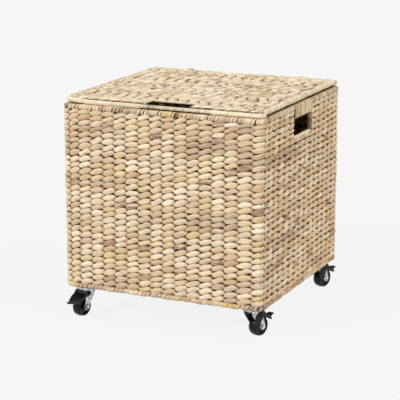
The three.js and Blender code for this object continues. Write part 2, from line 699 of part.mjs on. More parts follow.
// The fork is one pressing: a round top plate with two tapering legs.
function fork() {
  const disc = new THREE.Shape();
  disc.absarc(0, 0, FORK_PLATE_RADIUS, 0, 2 * Math.PI, false);
  disc.holes.push(circleHole(0, 0, STEM_HOLE));
  const plate = raised(disc, FORK_SOFFIT_Z, FORK_TOP_Z, ROUND_SIDES / 2);
  const ears = cut(block(-FORK_FRONT, FORK_REAR, -LEG_OUTER, LEG_OUTER, FORK_SOFFIT_Z, FORK_TOP_Z), [
    rod([0, 0, FORK_SOFFIT_Z - CUT_PAST], [0, 0, FORK_TOP_Z + CUT_PAST], 2 * STEM_HOLE, SMALL_SIDES),
  ]);
  const middle = FORK_SOFFIT_Z + FORK_SHEET / 2;
  const shoulder = FORK_SOFFIT_Z - FORK_SHOULDER;
  const front = edgeMeetsEye(-FORK_FRONT, shoulder, 1);
  const rear = edgeMeetsEye(FORK_REAR, shoulder, -1) + 2 * Math.PI;
  const leg = new THREE.Shape();
  leg.moveTo(-FORK_FRONT, middle);
  leg.lineTo(-FORK_FRONT, shoulder);
  leg.absarc(TRAIL, AXLE_Z, FORK_EYE_RADIUS, front, rear, false);
  leg.lineTo(FORK_REAR, shoulder);
  leg.lineTo(FORK_REAR, middle);
  leg.holes.push(circleHole(TRAIL, AXLE_Z, AXLE_RADIUS + RUNNING_CLEARANCE));
  leg.holes.push(circleHole(PEDAL_PIVOT_X, PEDAL_PIVOT_Z, PEDAL_PIN_RADIUS + RUNNING_CLEARANCE));
  const legs = [
    alongY(leg, LEG_INNER, LEG_OUTER, EYE_STEPS),
    alongY(leg, -LEG_OUTER, -LEG_INNER, EYE_STEPS),
  ];
  return join([plate, ears, ...legs]);
}

// Turned pieces of the axle are drawn upright and laid along Y through the axle's place.
function onAxle(solid) {
  return solid.rotate([-90, 0, 0]).translate([TRAIL, 0, AXLE_Z]);
}

const AXLE_SHOULDER = LEG_OUTER + SEAT_GAP;

function axle() {
  const end = AXLE_SHOULDER + AXLE_NUT + THREAD_END;
  return onAxle(
    turned(
      [
        [0, -AXLE_SHOULDER - AXLE_HEAD],
        [AXLE_HEAD_RADIUS - AXLE_HEAD_CHAMFER, -AXLE_SHOULDER - AXLE_HEAD],
        [AXLE_HEAD_RADIUS, -AXLE_SHOULDER - AXLE_HEAD + AXLE_HEAD_CHAMFER],
        [AXLE_HEAD_RADIUS, -AXLE_SHOULDER],
        [AXLE_RADIUS, -AXLE_SHOULDER],
        [AXLE_RADIUS, end],
        [0, end],
      ],
      SMALL_SIDES,
    ),
  );
}

function axleNut() {
  const nut = hexagon(AXLE_NUT_RADIUS, AXLE_RADIUS + RUNNING_CLEARANCE);
  return onAxle(raised(nut, AXLE_SHOULDER, AXLE_SHOULDER + AXLE_NUT, SMALL_SIDES / 2));
}

// The wheel has a crowned tread, a thinner web and a hub as wide as the tread.
function wheel() {
  const half = WHEEL_WIDTH / 2;
  const web = WEB_THICKNESS / 2;
  const bore = AXLE_RADIUS + RUNNING_CLEARANCE;
  const side = [
    [bore, half],
    [HUB_RADIUS, half],
    [HUB_RADIUS + HUB_DRAFT, web],
    [TYRE_INNER_RADIUS, web],
    [TYRE_INNER_RADIUS + TYRE_DRAFT, half - TYRE_LIP],
    [WHEEL_RADIUS - TREAD_SHOULDER, half],
    [WHEEL_RADIUS - TREAD_CROWN, half - TREAD_EDGE],
  ];
  const mirrored = side.map(([radius, height]) => [radius, -height]).reverse();
  return onAxle(turned([...side, [WHEEL_RADIUS, 0], ...mirrored], ROUND_SIDES));
}

// A point at a radius and an angle in degrees round the wheel's centre.
function aroundWheel(radius, degrees) {
  const angle = THREE.MathUtils.degToRad(degrees);
  return [TRAIL + radius * Math.cos(angle), AXLE_Z + radius * Math.sin(angle)];
}

// The pedal is a shoe over the tread, two cheeks with its pins outside the legs, and a tab to step on.
function brakePedal() {
  const shoeInner = WHEEL_RADIUS + BRAKE_GAP;
  const shoeOuter = shoeInner + PEDAL_SHEET;
  const cheekInner = LEG_OUTER + PEDAL_SIDE_CLEARANCE;
  const cheekOuter = cheekInner + PEDAL_SHEET;
  const between = (from, to, steps) =>
    Array.from({ length: steps + 1 }, (_, i) => from + ((to - from) * i) / steps);
  const arc = (radius, from, to) =>
    between(from, to, PEDAL_STEPS).map((degrees) => aroundWheel(radius, degrees));
  const shoe = outline([
    ...arc(shoeOuter, SHOE_START, SHOE_END),
    ...arc(shoeInner, SHOE_END, SHOE_START),
  ]);
  const cheekEnd = (SHOE_START + SHOE_END) / 2;
  const eye = (degrees) => {
    const angle = THREE.MathUtils.degToRad(degrees);
    return [
      PEDAL_PIVOT_X + PEDAL_EYE_RADIUS * Math.cos(angle),
      PEDAL_PIVOT_Z + PEDAL_EYE_RADIUS * Math.sin(angle),
    ];
  };
  const cheek = outline([
    ...arc(shoeOuter, SHOE_START, SHOE_END),
    ...between(PEDAL_EYE_START, PEDAL_EYE_END, EYE_STEPS).map(eye),
    ...arc(shoeInner - PEDAL_SKIRT, cheekEnd, SHOE_START),
  ]);
  const cheeks = [-1, 1].map((side) => {
    const [y0, y1] = side > 0 ? [cheekInner, cheekOuter] : [-cheekOuter, -cheekInner];
    const pinEnd = side * (LEG_INNER + SEAT_GAP);
    const pin = rod(
      [PEDAL_PIVOT_X, pinEnd, PEDAL_PIVOT_Z],
      [PEDAL_PIVOT_X, side * (cheekInner + PEDAL_SHEET / 2), PEDAL_PIVOT_Z],
      2 * PEDAL_PIN_RADIUS,
    );
    return join([alongY(cheek, y0, y1), pin]);
  });
  const tabRoot = aroundWheel(shoeInner + PEDAL_SHEET / 2, SHOE_START);
  const tabTop = tabRoot[1] + TAB_RISE;
  const under = PEDAL_SHEET / 2;
  const tab = outline([
    [tabRoot[0] - under, tabRoot[1] + under],
    [tabRoot[0] - under, tabRoot[1] - under],
    [tabRoot[0] + under, tabRoot[1] - under],
    [TAB_BEND, tabTop - under],
    [TAB_REACH, tabTop - under],
    [TAB_REACH, tabTop + under],
    [TAB_BEND, tabTop + under],
  ]);
  const corners = new THREE.Shape();
  corners.moveTo(0, -TAB_WIDTH / 2);
  corners.absarc(TAB_REACH - TAB_CORNER, TAB_CORNER - TAB_WIDTH / 2, TAB_CORNER, -Math.PI / 2, 0, false);
  corners.absarc(TAB_REACH - TAB_CORNER, TAB_WIDTH / 2 - TAB_CORNER, TAB_CORNER, 0, Math.PI / 2, false);
  corners.lineTo(0, TAB_WIDTH / 2);
  const plan = raised(corners, AXLE_Z, GROUND_CLEARANCE, CORNER_STEPS);
  return join([
    alongY(shoe, -cheekOuter, cheekOuter),
    ...cheeks,
    alongY(tab, -TAB_WIDTH / 2, TAB_WIDTH / 2).intersect(plan),
  ]);
}

// Finishes
const finish = (color, roughness, metalness = 0) =>
  new THREE.MeshStandardMaterial({ color, roughness, metalness });
const hyacinth = () => finish(0xd9bd94, 0.75);
const paleHyacinth = () => finish(0xe6d3b3, 0.75);
const cane = () => finish(0xc9a878, 0.6);
const blackSteel = () => finish(0x2a2826, 0.5, 0.4);
const zinc = () => finish(0xc4c6c8, 0.28, 1);
const blackNylon = () => finish(0x1a1a1c, 0.3);

const box = new THREE.Group();

function add(parent, name, solid, material) {
  const mesh = new THREE.Mesh(geometryOf(solid), material);
  mesh.name = name;
  parent.add(mesh);
}

add(box, "steel_frame", steelFrame(), blackSteel());
add(box, "woven_front", endWall(-1), hyacinth());
add(box, "woven_back", backWall(), hyacinth());
add(box, "woven_left", sideWall(-1), hyacinth());
add(box, "woven_right", sideWall(1), hyacinth());
add(box, "woven_floor", wovenFloor(), hyacinth());
add(box, "rim_wrap_front", rimWrap(-1), hyacinth());
add(box, "rim_wrap_back", rimWrap(1), hyacinth());
add(box, "base_wrap", baseWrap(), hyacinth());
add(box, "handle_wrap_left", handleWrap(-1), paleHyacinth());
add(box, "handle_wrap_right", handleWrap(1), paleHyacinth());
add(box, "hinge_loop_left", hingeLoop(LOOP_X[0]), cane());
add(box, "hinge_loop_right", hingeLoop(LOOP_X[1]), cane());

const lid = new THREE.Group();
box.add(lid);
add(lid, "lid_frame", lidFrame(), blackSteel());
add(lid, "lid_panel", lidPanel(), paleHyacinth());
add(lid, "lid_border", lidBorder(), paleHyacinth());
add(lid, "slot_binding", slotBinding(), paleHyacinth());

const [stem, nut, head] = [stemBolt(), stemNut(), swivelHead()];
const [balls, yoke, pin, pinNut] = [ballRing(), fork(), axle(), axleNut()];
const [roller, pedal] = [wheel(), brakePedal()];

for (const caster of CASTERS) {
  const { place, sideX, sideY, heading } = caster;
  add(box, "caster_plate_" + place, casterPlate(caster), blackSteel());
  const fixed = new THREE.Group();
  fixed.position.set(sideX * CASTER_X, sideY * CASTER_Y, 0);
  box.add(fixed);
  add(fixed, "stem_bolt_" + place, stem, zinc());
  add(fixed, "stem_nut_" + place, nut, zinc());
  add(fixed, "swivel_head_" + place, head, zinc());
  const swivel = new THREE.Group();
  swivel.rotation.z = THREE.MathUtils.degToRad(heading);
  fixed.add(swivel);
  add(swivel, "ball_ring_" + place, balls, zinc());
  add(swivel, "fork_" + place, yoke, zinc());
  add(swivel, "axle_" + place, pin, zinc());
  add(swivel, "axle_nut_" + place, pinNut, zinc());
  add(swivel, "wheel_" + place, roller, blackNylon());
  add(swivel, "brake_pedal_" + place, pedal, blackNylon());
}

export default box;
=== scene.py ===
import json
import math

import bpy
import numpy as np
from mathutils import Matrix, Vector


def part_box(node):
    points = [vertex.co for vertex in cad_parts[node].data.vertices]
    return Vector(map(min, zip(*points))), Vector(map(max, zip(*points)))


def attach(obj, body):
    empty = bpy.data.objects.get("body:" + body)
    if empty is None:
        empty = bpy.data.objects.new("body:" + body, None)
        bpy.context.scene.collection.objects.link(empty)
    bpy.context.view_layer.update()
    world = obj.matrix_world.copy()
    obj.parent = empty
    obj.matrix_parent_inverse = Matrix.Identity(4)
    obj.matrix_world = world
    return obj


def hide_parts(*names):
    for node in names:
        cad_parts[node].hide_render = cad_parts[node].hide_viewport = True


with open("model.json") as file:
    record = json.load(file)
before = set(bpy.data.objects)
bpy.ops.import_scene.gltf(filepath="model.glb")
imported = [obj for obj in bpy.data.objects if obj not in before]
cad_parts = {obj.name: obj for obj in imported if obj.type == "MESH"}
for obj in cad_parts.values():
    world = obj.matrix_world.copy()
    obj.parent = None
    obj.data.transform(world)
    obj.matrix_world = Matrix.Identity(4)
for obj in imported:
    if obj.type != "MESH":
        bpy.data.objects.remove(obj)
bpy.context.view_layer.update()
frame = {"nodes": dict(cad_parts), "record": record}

MM = 0.001
DICE = np.random.default_rng(2453)


def corners_of(node):
    """Lowest and highest corner of a node of the frame, in millimetres."""
    low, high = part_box(node)
    return np.array(low) / MM, np.array(high) / MM


# Sizes taken from the frame
FRONT_LOW, FRONT_HIGH = corners_of("woven_front")
RIM_LOW, RIM_HIGH = corners_of("rim_wrap_front")
BASE_LOW, BASE_HIGH = corners_of("base_wrap")
FLOOR_LOW, FLOOR_HIGH = corners_of("woven_floor")
HANDLE_LOW, HANDLE_HIGH = corners_of("handle_wrap_right")
LID_LOW, LID_HIGH = corners_of("lid_border")
PANEL_LOW, PANEL_HIGH = corners_of("lid_panel")
SLOT_LOW, SLOT_HIGH = corners_of("slot_binding")
HALF_WIDTH = FRONT_HIGH[0]
HALF_DEPTH = -FRONT_LOW[1]
WALL = FRONT_HIGH[1] - FRONT_LOW[1]
LID_BORDER = LID_HIGH[2] - LID_LOW[2]
LID_LEVEL = (LID_HIGH[2] + LID_LOW[2]) / 2

# Sizes and counts read from the photograph, and those of the floor, which doesn't show in it
CORNER_RADIUS = 12
LID_CORNER_RADIUS = 16
# Places of the stakes from the middle of a wall: the front's left to right, the sides' front to back
FRONT_STAKES = (-178, -155, -130.5, -106, -82, -59, -33, -9, 14, 39, 63.5, 88, 113, 137, 163.5)
SIDE_STAKES = (-176, -155, -131, -104, -78, -50, -26, -1, 24, 50, 73, 98, 123, 147, 171)
STAKES_PER_WALL = 16  # with the post at the wall's first corner
ROD_EVERY = 4  # every fourth stake is left to the frame's own rods
HOLE_STAKES = (6, 10)  # the side stakes, counted from a corner, between which the hand hole lies
HOLE_HEIGHT = 35
SLOT_BINDING = 5  # width of the binding round the finger slot
COURSES = 30  # courses of the walls, each of two stems
COURSES_BELOW_HOLE = 25
LID_STAKES = 17  # spaces between the stakes, from the lid's left side to its right
LID_COURSES = 27
COURSES_AT_SLOT = 3  # courses at the lid's front that the finger slot breaks
FLOOR_STAKES = 16
FLOOR_COURSES = 31
STRAY = 0.9  # how far the walls' stakes stray sideways
TURN = 0.18  # reach of a stem turned back round the last stake, in stakes

# How a panel's stems lie, for weave(). In millimetres: reach, the swing of their middles in and out,
# and thick, their thickness at a crossing and over a stake. In courses: rise, how far their middles
# move up and down between stakes, neck, half their height at a crossing, and fill, their height over
# a stake. swell is the power of the swelling from one to the other. open_from and open_to are how far
# out of the weave, as a share of it, the shade painted into a stem's colour starts to lift and is gone.
FRONT_AND_BACK_WEAVE = {
    "reach": 1.6, "thick": (2.75, 2.75), "rise": 0.2, "neck": 0.36, "fill": 1.06, "swell": 0.85,
    "open_from": 0.36, "open_to": 0.8,
}
SIDE_WEAVE = {
    "reach": 1.2, "thick": (3.0, 3.0), "rise": 0.12, "neck": 0.38, "fill": 0.95, "swell": 0.55,
    "open_from": 0.4, "open_to": 0.94,
}
LID_WEAVE = {
    "reach": 2.2, "thick": (2.5, 3.1), "rise": 0.18, "neck": 0.31, "fill": 1.04, "swell": 0.55,
    "open_from": 0.34, "open_to": 0.95,
}
FLOOR_WEAVE = {
    "reach": 2.0, "thick": (2.4, 1.8), "rise": 0.15, "neck": 0.3, "fill": 1.0, "swell": 0.55,
    "open_from": 0.4, "open_to": 0.82,
}

# Colours that all the stems share
OCHRE = "DCC48C"
MAUVE = "7C584E"
# painted shade of the weave's hollows: brown, and nearly black in the deepest of them
PAINTED_SHADE_BROWN = "6E4422"
PAINTED_SHADE_DARK = "1C0E06"


# Colours and nodes
def linear(hex_code, alpha=1.0):
    """Linear colour from an sRGB hex code: (c + 0.055) / 1.055 to the power 2.4, or c / 12.92 near black."""
    channels = [int(hex_code[i:i + 2], 16) / 255 for i in (0, 2, 4)]
    curve = [c / 12.92 if c <= 0.04045 else ((c + 0.055) / 1.055) ** 2.4 for c in channels]
    return (*curve, alpha)


def add_node(tree, kind, inputs=None, **settings):
    """Adds a node. inputs maps sockets to values or to the output sockets that feed them."""
    made = tree.nodes.new(kind)
    for setting, value in settings.items():
        setattr(made, setting, value)
    for socket, value in (inputs or {}).items():
        if isinstance(value, bpy.types.NodeSocket):
            tree.links.new(value, made.inputs[socket])
        else:
            made.inputs[socket].default_value = value
    return made


def new_material(name):
    """An empty material with a Principled shader joined to its output."""
    material = bpy.data.materials.new(name)
    material.use_nodes = True
    tree = material.node_tree
    tree.nodes.clear()
    shader = add_node(tree, "ShaderNodeBsdfPrincipled")
    add_node(tree, "ShaderNodeOutputMaterial", {"Surface": shader.outputs[0]})
    return material, tree, shader


# Settings of nodes that are used more than once
EASED = {"interpolation_type": "SMOOTHSTEP"}  # for a Map Range that starts and ends level
OF_COLOURS = {"data_type": "RGBA"}  # for a Mix of the colours at sockets 6 and 7 by the share at 0


def dried_stem(name, deep, pale, hollow=0.8):
    """Water hyacinth, stems dried in the sun and twisted flat, without varnish. To the eye that is a
    matte, papery straw, which runs from pale to ochre and mauve-brown from stem to stem and has fine
    streaks lengthwise. Shade is painted into its colour, which goes brown, then nearly black, down in
    the weave's hollows. The real fibres are a third of a millimetre apart, too fine to show, and are
    drawn a millimetre apart and twenty long. Each point carries its stem's colour in "stem" (tone,
    ochre, mauve, and how far it is out of the hollows, which sets the painted shade) and its place
    along and across the stem, in millimetres, in "grain". hollow is how far out of the hollows, from
    0 to 1, the painted brown shade reaches."""
    material, tree, shader = new_material(name)
    stem = add_node(tree, "ShaderNodeAttribute", attribute_name="stem")
    grain = add_node(tree, "ShaderNodeAttribute", attribute_name="grain")
    parts = add_node(tree, "ShaderNodeSeparateColor", {0: stem.outputs["Color"]})
    fibres_per_mm, streaks_per_mm = (0.045, 0.9, 0.9), (0.05, 0.33, 0.33)  # along, up and through
    narrow = add_node(
        tree, "ShaderNodeVectorMath", {0: grain.outputs["Vector"], 1: fibres_per_mm}, operation="MULTIPLY"
    )
    fibre = add_node(tree, "ShaderNodeTexNoise", {"Vector": narrow.outputs[0], "Scale": 1.0, "Detail": 3.0})
    broad = add_node(
        tree, "ShaderNodeVectorMath", {0: grain.outputs["Vector"], 1: streaks_per_mm}, operation="MULTIPLY"
    )
    patch = add_node(tree, "ShaderNodeTexNoise", {"Vector": broad.outputs[0], "Scale": 1.0, "Detail": 2.0})
    streaked = add_node(
        tree, "ShaderNodeMath", {0: fibre.outputs[0], 1: 0.9, 2: parts.outputs[0]}, operation="MULTIPLY_ADD"
    )
    toned = add_node(
        tree, "ShaderNodeMath", {0: patch.outputs[0], 1: 1.4, 2: streaked.outputs[0]},
        operation="MULTIPLY_ADD",
    )
    tone = add_node(
        tree, "ShaderNodeMapRange", {"Value": toned.outputs[0], "From Min": 0.6, "From Max": 1.7}, **EASED
    )
    straw = add_node(
        tree, "ShaderNodeMix", {0: tone.outputs[0], 6: linear(deep), 7: linear(pale)}, **OF_COLOURS
    )
    golden = add_node(
        tree, "ShaderNodeMix", {0: parts.outputs[1], 6: straw.outputs[2], 7: linear(OCHRE)}, **OF_COLOURS
    )
    brown_patch = add_node(
        tree, "ShaderNodeMapRange", {"Value": patch.outputs[0], "From Min": 0.3, "From Max": 0.6}, **EASED
    )
    brown_share = add_node(
        tree, "ShaderNodeMath", {0: brown_patch.outputs[0], 1: parts.outputs[2]}, operation="MULTIPLY"
    )
    stained = add_node(
        tree, "ShaderNodeMix", {0: brown_share.outputs[0], 6: golden.outputs[2], 7: linear(MAUVE)},
        **OF_COLOURS,
    )
    # painted shade: the colour goes brown in the hollows, out to hollow, and nearly black in their deepest
    # quarter
    shaded = add_node(
        tree, "ShaderNodeMapRange", {"Value": stem.outputs["Alpha"], "From Max": hollow}, **EASED
    )
    brown = add_node(
        tree, "ShaderNodeMix", {0: shaded.outputs[0], 6: linear(PAINTED_SHADE_BROWN), 7: stained.outputs[2]},
        **OF_COLOURS,
    )
    lit = add_node(tree, "ShaderNodeMapRange", {"Value": stem.outputs["Alpha"], "From Max": 0.25}, **EASED)
    colour = add_node(
        tree, "ShaderNodeMix", {0: lit.outputs[0], 6: linear(PAINTED_SHADE_DARK), 7: brown.outputs[2]}, **OF_COLOURS
    )
    bump = add_node(tree, "ShaderNodeBump", {"Height": fibre.outputs[0], "Strength": 0.8, "Distance": 0.0009})
    tree.links.new(colour.outputs[2], shader.inputs["Base Color"])
    tree.links.new(bump.outputs[0], shader.inputs["Normal"])
    shader.inputs["Roughness"].default_value = 0.7
    shader.inputs["IOR"].default_value = 1.45
    shader.inputs["Specular IOR Level"].default_value = 0.1
    return material


# Meshes from arrays
def skin(name, bundles):
    """A mesh of tubes. A bundle holds rings of points, an array of tubes x rings x points x 3, the
    points' grain and stem colour, and whether its tubes close on themselves. Neighbouring rings are
    joined by four-sided faces, and the two end rings of an open tube are closed by one face each.
    All the faces of a bundle are turned round if the volume inside them, the sum of
    a . (b x c + c x d) over their corners, comes out negative."""
    places, grains, stems, corners, sides = [], [], [], [], []
    count = 0
    for rings, grain, stem, looped in bundles:
        tubes, steps, around, _ = rings.shape
        index = np.arange(rings[..., 0].size).reshape(tubes, steps, around)
        here = index if looped else index[:, :-1]
        ahead = np.roll(index, -1, axis=1) if looped else index[:, 1:]
        quads = np.stack([here, np.roll(here, -1, 2), np.roll(ahead, -1, 2), ahead], -1).reshape(-1, 4)
        flat = rings.reshape(-1, 3)
        a, b, c, d = (flat[quads[:, i]] for i in range(4))
        outward = np.einsum("ij,ij->", a, np.cross(b, c) + np.cross(c, d)) > 0
        caps = np.zeros((0, around), int)
        if not looped:
            caps = np.concatenate([index[:, 0, ::-1], index[:, -1]])
        if not outward:
            quads, caps = quads[:, ::-1], caps[:, ::-1]
        places.append(flat)
        grains.append(grain.reshape(-1, 3))
        stems.append(stem.reshape(-1, 4))
        corners += [quads.ravel() + count, caps.ravel() + count]
        sides += [np.full(len(quads), 4), np.full(len(caps), around)]
        count += len(flat)
    corners, sides = np.concatenate(corners), np.concatenate(sides)
    mesh = bpy.data.meshes.new(name)
    mesh.vertices.add(count)
    mesh.vertices.foreach_set("co", (np.concatenate(places) * MM).astype(np.float32).ravel())
    mesh.loops.add(len(corners))
    mesh.loops.foreach_set("vertex_index", corners.astype(np.int32))
    mesh.polygons.add(len(sides))
    mesh.polygons.foreach_set("loop_start", (np.cumsum(sides) - sides).astype(np.int32))
    mesh.update(calc_edges=True)
    mesh.validate()
    mesh.shade_smooth()
    mesh.attributes.new("grain", "FLOAT_VECTOR", "POINT").data.foreach_set(
        "vector", np.concatenate(grains).astype(np.float32).ravel()
    )
    mesh.attributes.new("stem", "FLOAT_COLOR", "POINT").data.foreach_set(
        "color", np.concatenate(stems).astype(np.float32).ravel()
    )
    return mesh


def piece(name, bundles, material, body, slot, *nodes):
    """An object from bundles of tubes, riding on a body and standing for nodes of the frame."""
    mesh = skin(name, bundles)
    mesh.materials.append(material)
    made = bpy.data.objects.new(name, mesh)
    bpy.context.scene.collection.objects.link(made)
    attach(made, body)
    if nodes:
        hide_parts(*nodes)
    return made


def hard_piece(name, tubes, material, body, slot, *nodes):
    """A moulded or pressed piece from rings of points, each with whether it closes on itself. Edges
    sharper than 35 degrees stay crisp."""
    bundles = [(rings, 0 * rings, np.zeros((*rings.shape[:-1], 4)), looped) for rings, looped in tubes]
    made = piece(name, bundles, material, body, slot, *nodes)
    made.data.set_sharp_from_angle(angle=math.radians(35))
    return made


# Shapes used by several pieces
def round_turn(count):
    """Angles of a number of points spaced evenly round a turn."""
    return 2 * np.pi * np.arange(count) / count


def signed_power(value, power):
    """The value's size raised to a power, with its sign kept."""
    return np.sign(value) * np.abs(value) ** power


def between(before, here, after, beyond, part):
    """A smooth line from here to after, at a part of the way: the cubic that leaves here with half the
    step from before to after, and reaches after with half the step from here to beyond."""
    return here + 0.5 * part * (
        after - before
        + part * (2 * before - 5 * here + 4 * after - beyond + part * (3 * (here - after) + beyond - before))
    )


def band(half_across, half_high, power, angle):
    """Section of a rod or band: the rounded rectangle |x / a|^power + |z / b|^power = 1 at an angle,
    and the direction that points straight away from it, along the slope of that sum."""
    x = half_across * signed_power(np.cos(angle), 2 / power)
    z = half_high * signed_power(np.sin(angle), 2 / power)
    away = np.stack([
        signed_power(x / half_across, power - 1) / half_across,
        signed_power(z / half_high, power - 1) / half_high,
    ], -1)
    return x, z, away / np.linalg.norm(away, axis=-1, keepdims=True)


# Stem colours
def patchy(shape, along=1, across=0):
    """Random numbers with a spread of one, alike over a few neighbours along a stem and across stems."""
    noise = DICE.normal(size=shape)
    for _ in range(along):
        noise = noise + 0.7 * (np.roll(noise, 1, 1) + np.roll(noise, -1, 1))
    for _ in range(across):
        noise = noise + 0.7 * (np.roll(noise, 1, 0) + np.roll(noise, -1, 0))
    return noise / noise.std()


def stem_colours(shape, ochre_from=0.7, mauve_from=0.9):
    """Tone, ochre and mauve of each bump of each stem. Two bumps in a hundred are dark mauve all over,
    and more have a tinge of it in broad patches of the weave. ochre_from and mauve_from are how far
    from the mean, in standard deviations, a patch starts to show."""
    tone = 0.17 * DICE.normal(size=shape) + 0.09 * patchy(shape, 2, 1)
    ochre = np.clip((patchy(shape, 1) - ochre_from) / 1.6, 0, 0.6)
    tinge = np.clip((patchy(shape, 3, 4) - mauve_from) / 1.6, 0, 0.5)
    dark = (DICE.random(shape) < 0.02) * DICE.uniform(0.7, 1, shape)
    mauve = np.maximum(np.maximum(tinge, dark), 0.2 * DICE.random(shape) ** 2)
    return np.stack([tone, ochre, mauve], -1)


def pale_stems(shape):
    """Stems with little ochre or mauve."""
    return stem_colours(shape, 1.5, 1.8) * [1, 1, 0.6] + [0.08, 0, 0]


def whitish_stems(shape):
    """The palest stems, with a trace of mauve."""
    return stem_colours(shape, 2.5, 2.0) * [1, 1, 0.8] + [0.3, 0, 0.04]


def bound_stems(shape):
    """Stems of the rim's and bottom's binding, which differ more from turn to turn."""
    return stem_colours(shape, 1.0, 0.5) * [1.7, 1, 1.5]


def shaded_mauve_stems(shape):
    """Stems with more mauve, darkened with painted shade, as round the edge of a hand hole."""
    return stem_colours(shape) * [1, 0.5, 1] + [-0.15, 0, 0.3]


# Twined weave over stakes
def weave_field(levels, stakes, looped, wander=1.0, jitter=0.8, colours=stem_colours, plateau=0.9,
                shift=0.0, uneven=0.05):
    """The courses of a twined weave at its stakes. levels holds the heights of the courses' edges.
    Seven slow waves of the size wander move them, most halfway and not at all at the lowest and
    highest edge, and so does a small throw at each stake, of the size jitter, but never past those
    two edges. A course fills the room between its edges, or 6 mm where there is less. It is made of
    two stems, which differ in height by the share uneven, and each stem has its own lift, lean, skew
    and colour at each stake. shift moves a whole course along, and plateau is the power of the
    stems' swing in and out: the lower it is, the longer they stay in front or behind. looped tells
    that the last stake comes before the first."""
    count = len(levels) - 1
    edge = np.arange(count + 1)[:, None]
    stake = np.arange(stakes)[None, :]
    fade = np.sin(np.pi * edge / count) ** 0.5
    level = np.array(levels)[:, None] + np.zeros((1, stakes))
    for _ in range(7):
        turns = DICE.integers(1, 9) if looped else DICE.uniform(0.5, 3)
        along = turns * stake / stakes + edge * DICE.uniform(-2, 2) / count + DICE.random()
        level += wander * 0.7 * fade * np.sin(2 * np.pi * along)
    level += jitter * np.clip(DICE.normal(size=level.shape), -2, 2) * (fade > 0)
    level = np.clip(level, levels[0], levels[-1])
    stems = (2 * count, stakes)
    return {
        "plateau": plateau,
        "shift": np.repeat(np.clip(DICE.normal(0, shift, (count, 1)), -0.5, 0.5), 2, axis=0),
        "middle": np.repeat((level[1:] + level[:-1]) / 2, 2, axis=0),
        "half": np.repeat(np.clip((level[1:] - level[:-1]) / 2, 3.0, None), 2, axis=0)
        * np.clip(DICE.normal(1, uneven, stems), 0.75, 1.2),
        "lift": np.clip(DICE.normal(0, 0.25, stems), -0.5, 0.5),
        "lean": DICE.normal(0, 0.09, stems),
        "skew": DICE.normal(0, 0.6, stems),
        "stem": colours(stems),
        "pitch": (levels[-1] - levels[0]) / count,
        "looped": looped,
    }


def pick(field, key, rows, stake):
    """A field's values for some stems at whole stakes."""
    values = field[key]
    last = values.shape[1]
    column = stake % last if field["looped"] else np.clip(stake, 0, last - 1)
    return values[rows][:, column]


def weave(field, rows, at, phase, lay, reach, thick, stem_length, rise, neck, fill, swell, open_from,
          open_to):
    """Stems of a twined weave, over the places at, counted in stakes. Stem 2i and stem 2i + 1 make
    course i. They are twisted together like a rope between the stakes: a stem's middle moves in and
    out as reach cos(pi (phase + stem)) and up and down as rise sin(pi (phase + stem)). Its half
    height swells from the neck at a crossing to the whole course over a stake as |cos(pi phase)| to
    the power swell, while its thickness goes from thick[0] to thick[1]. Its section is a slightly
    squared oval, fuller on the side that it swings to, with three soft creases that twist along it.
    Where a stem turns back round the last stake, the phase runs on while the place stays, and the
    stem keeps its height. lay turns places, heights and depths into points."""
    rows = np.array(rows)
    stake = np.floor(at).astype(int)
    middle = between(*(pick(field, "middle", rows, stake + i) for i in (-1, 0, 1, 2)), at - stake)
    nearest = np.round(at).astype(int)
    skew = pick(field, "skew", rows, nearest)
    turned = np.abs(phase - at)
    keep = np.cos(np.pi * np.where(turned > 0, phase - nearest, 0))
    swing = signed_power(np.cos(np.pi * (phase[None, :] + rows[:, None])), field["plateau"])
    lifted = np.sin(np.pi * (phase[None, :] + rows[:, None])) * keep
    bulge = np.where(turned > 0, 1.0, np.abs(np.cos(np.pi * phase)) ** swell)
    crossing = neck * field["pitch"]
    half = crossing + (pick(field, "half", rows, nearest) * fill - crossing) * bulge
    middle = middle + rise * field["pitch"] * lifted + skew * np.sin(2 * np.pi * (at - nearest))
    taper = np.ones(len(at))
    taper[[0, -1]] = 0.6  # the two ends are drawn in
    angle = round_turn(10)
    up = signed_power(np.sin(angle), 0.85)
    out = signed_power(np.cos(angle), 0.85)
    body = thick[0] + (thick[1] - thick[0]) * bulge
    # each stem's creases start at an angle of their own
    twist = np.pi * phase[None, :, None] + 2.4 * rows[:, None, None] + skew[..., None]
    crease = 1 + 0.2 * np.cos(3 * angle + twist)
    outer = body[:, None] * crease * (1 + np.where(out > 0, 0.33, -0.33) * swing[..., None])
    height = (half * taper)[..., None] * up
    lean = pick(field, "lean", rows, nearest)[..., None] * height * bulge[:, None]
    lift = pick(field, "lift", rows, nearest) * bulge
    depth = (reach * swing + lift)[..., None] + outer * out * taper[:, None] + lean
    across = middle[..., None] + height
    # a course's shift along the panel fades out at its ends
    held = np.clip(np.minimum(at - at[0], at[-1] - at), 0, 1)
    place = (at + field["shift"][rows] * held)[..., None] + 0 * across
    rings = lay(place, across, depth)
    # steps of 613 and 7.3 mm give each stem a grain of its own
    along = (phase * stem_length)[None, :, None] + 613.0 * rows[:, None, None] + 0 * across
    grain = np.stack([along, height + 0 * depth, outer * out + 7.3 * rows[:, None, None]], -1)
    colour = pick(field, "stem", rows, nearest)[:, :, None, :] + np.zeros((*across.shape, 3))
    # how far out of the hollows each point is, which sets the painted shade of the stems' material
    outmost = np.sign(out) * depth / (reach + thick[1])
    # on the stems' side that faces into the box, or under the lid, this is cut to 0.6: painted shade
    open_to_light = np.clip((outmost - open_from) / (open_to - open_from), 0, 1) * np.where(out < 0, 0.6, 1.0)
    return rings, grain, np.concatenate([colour, open_to_light[..., None]], -1), False


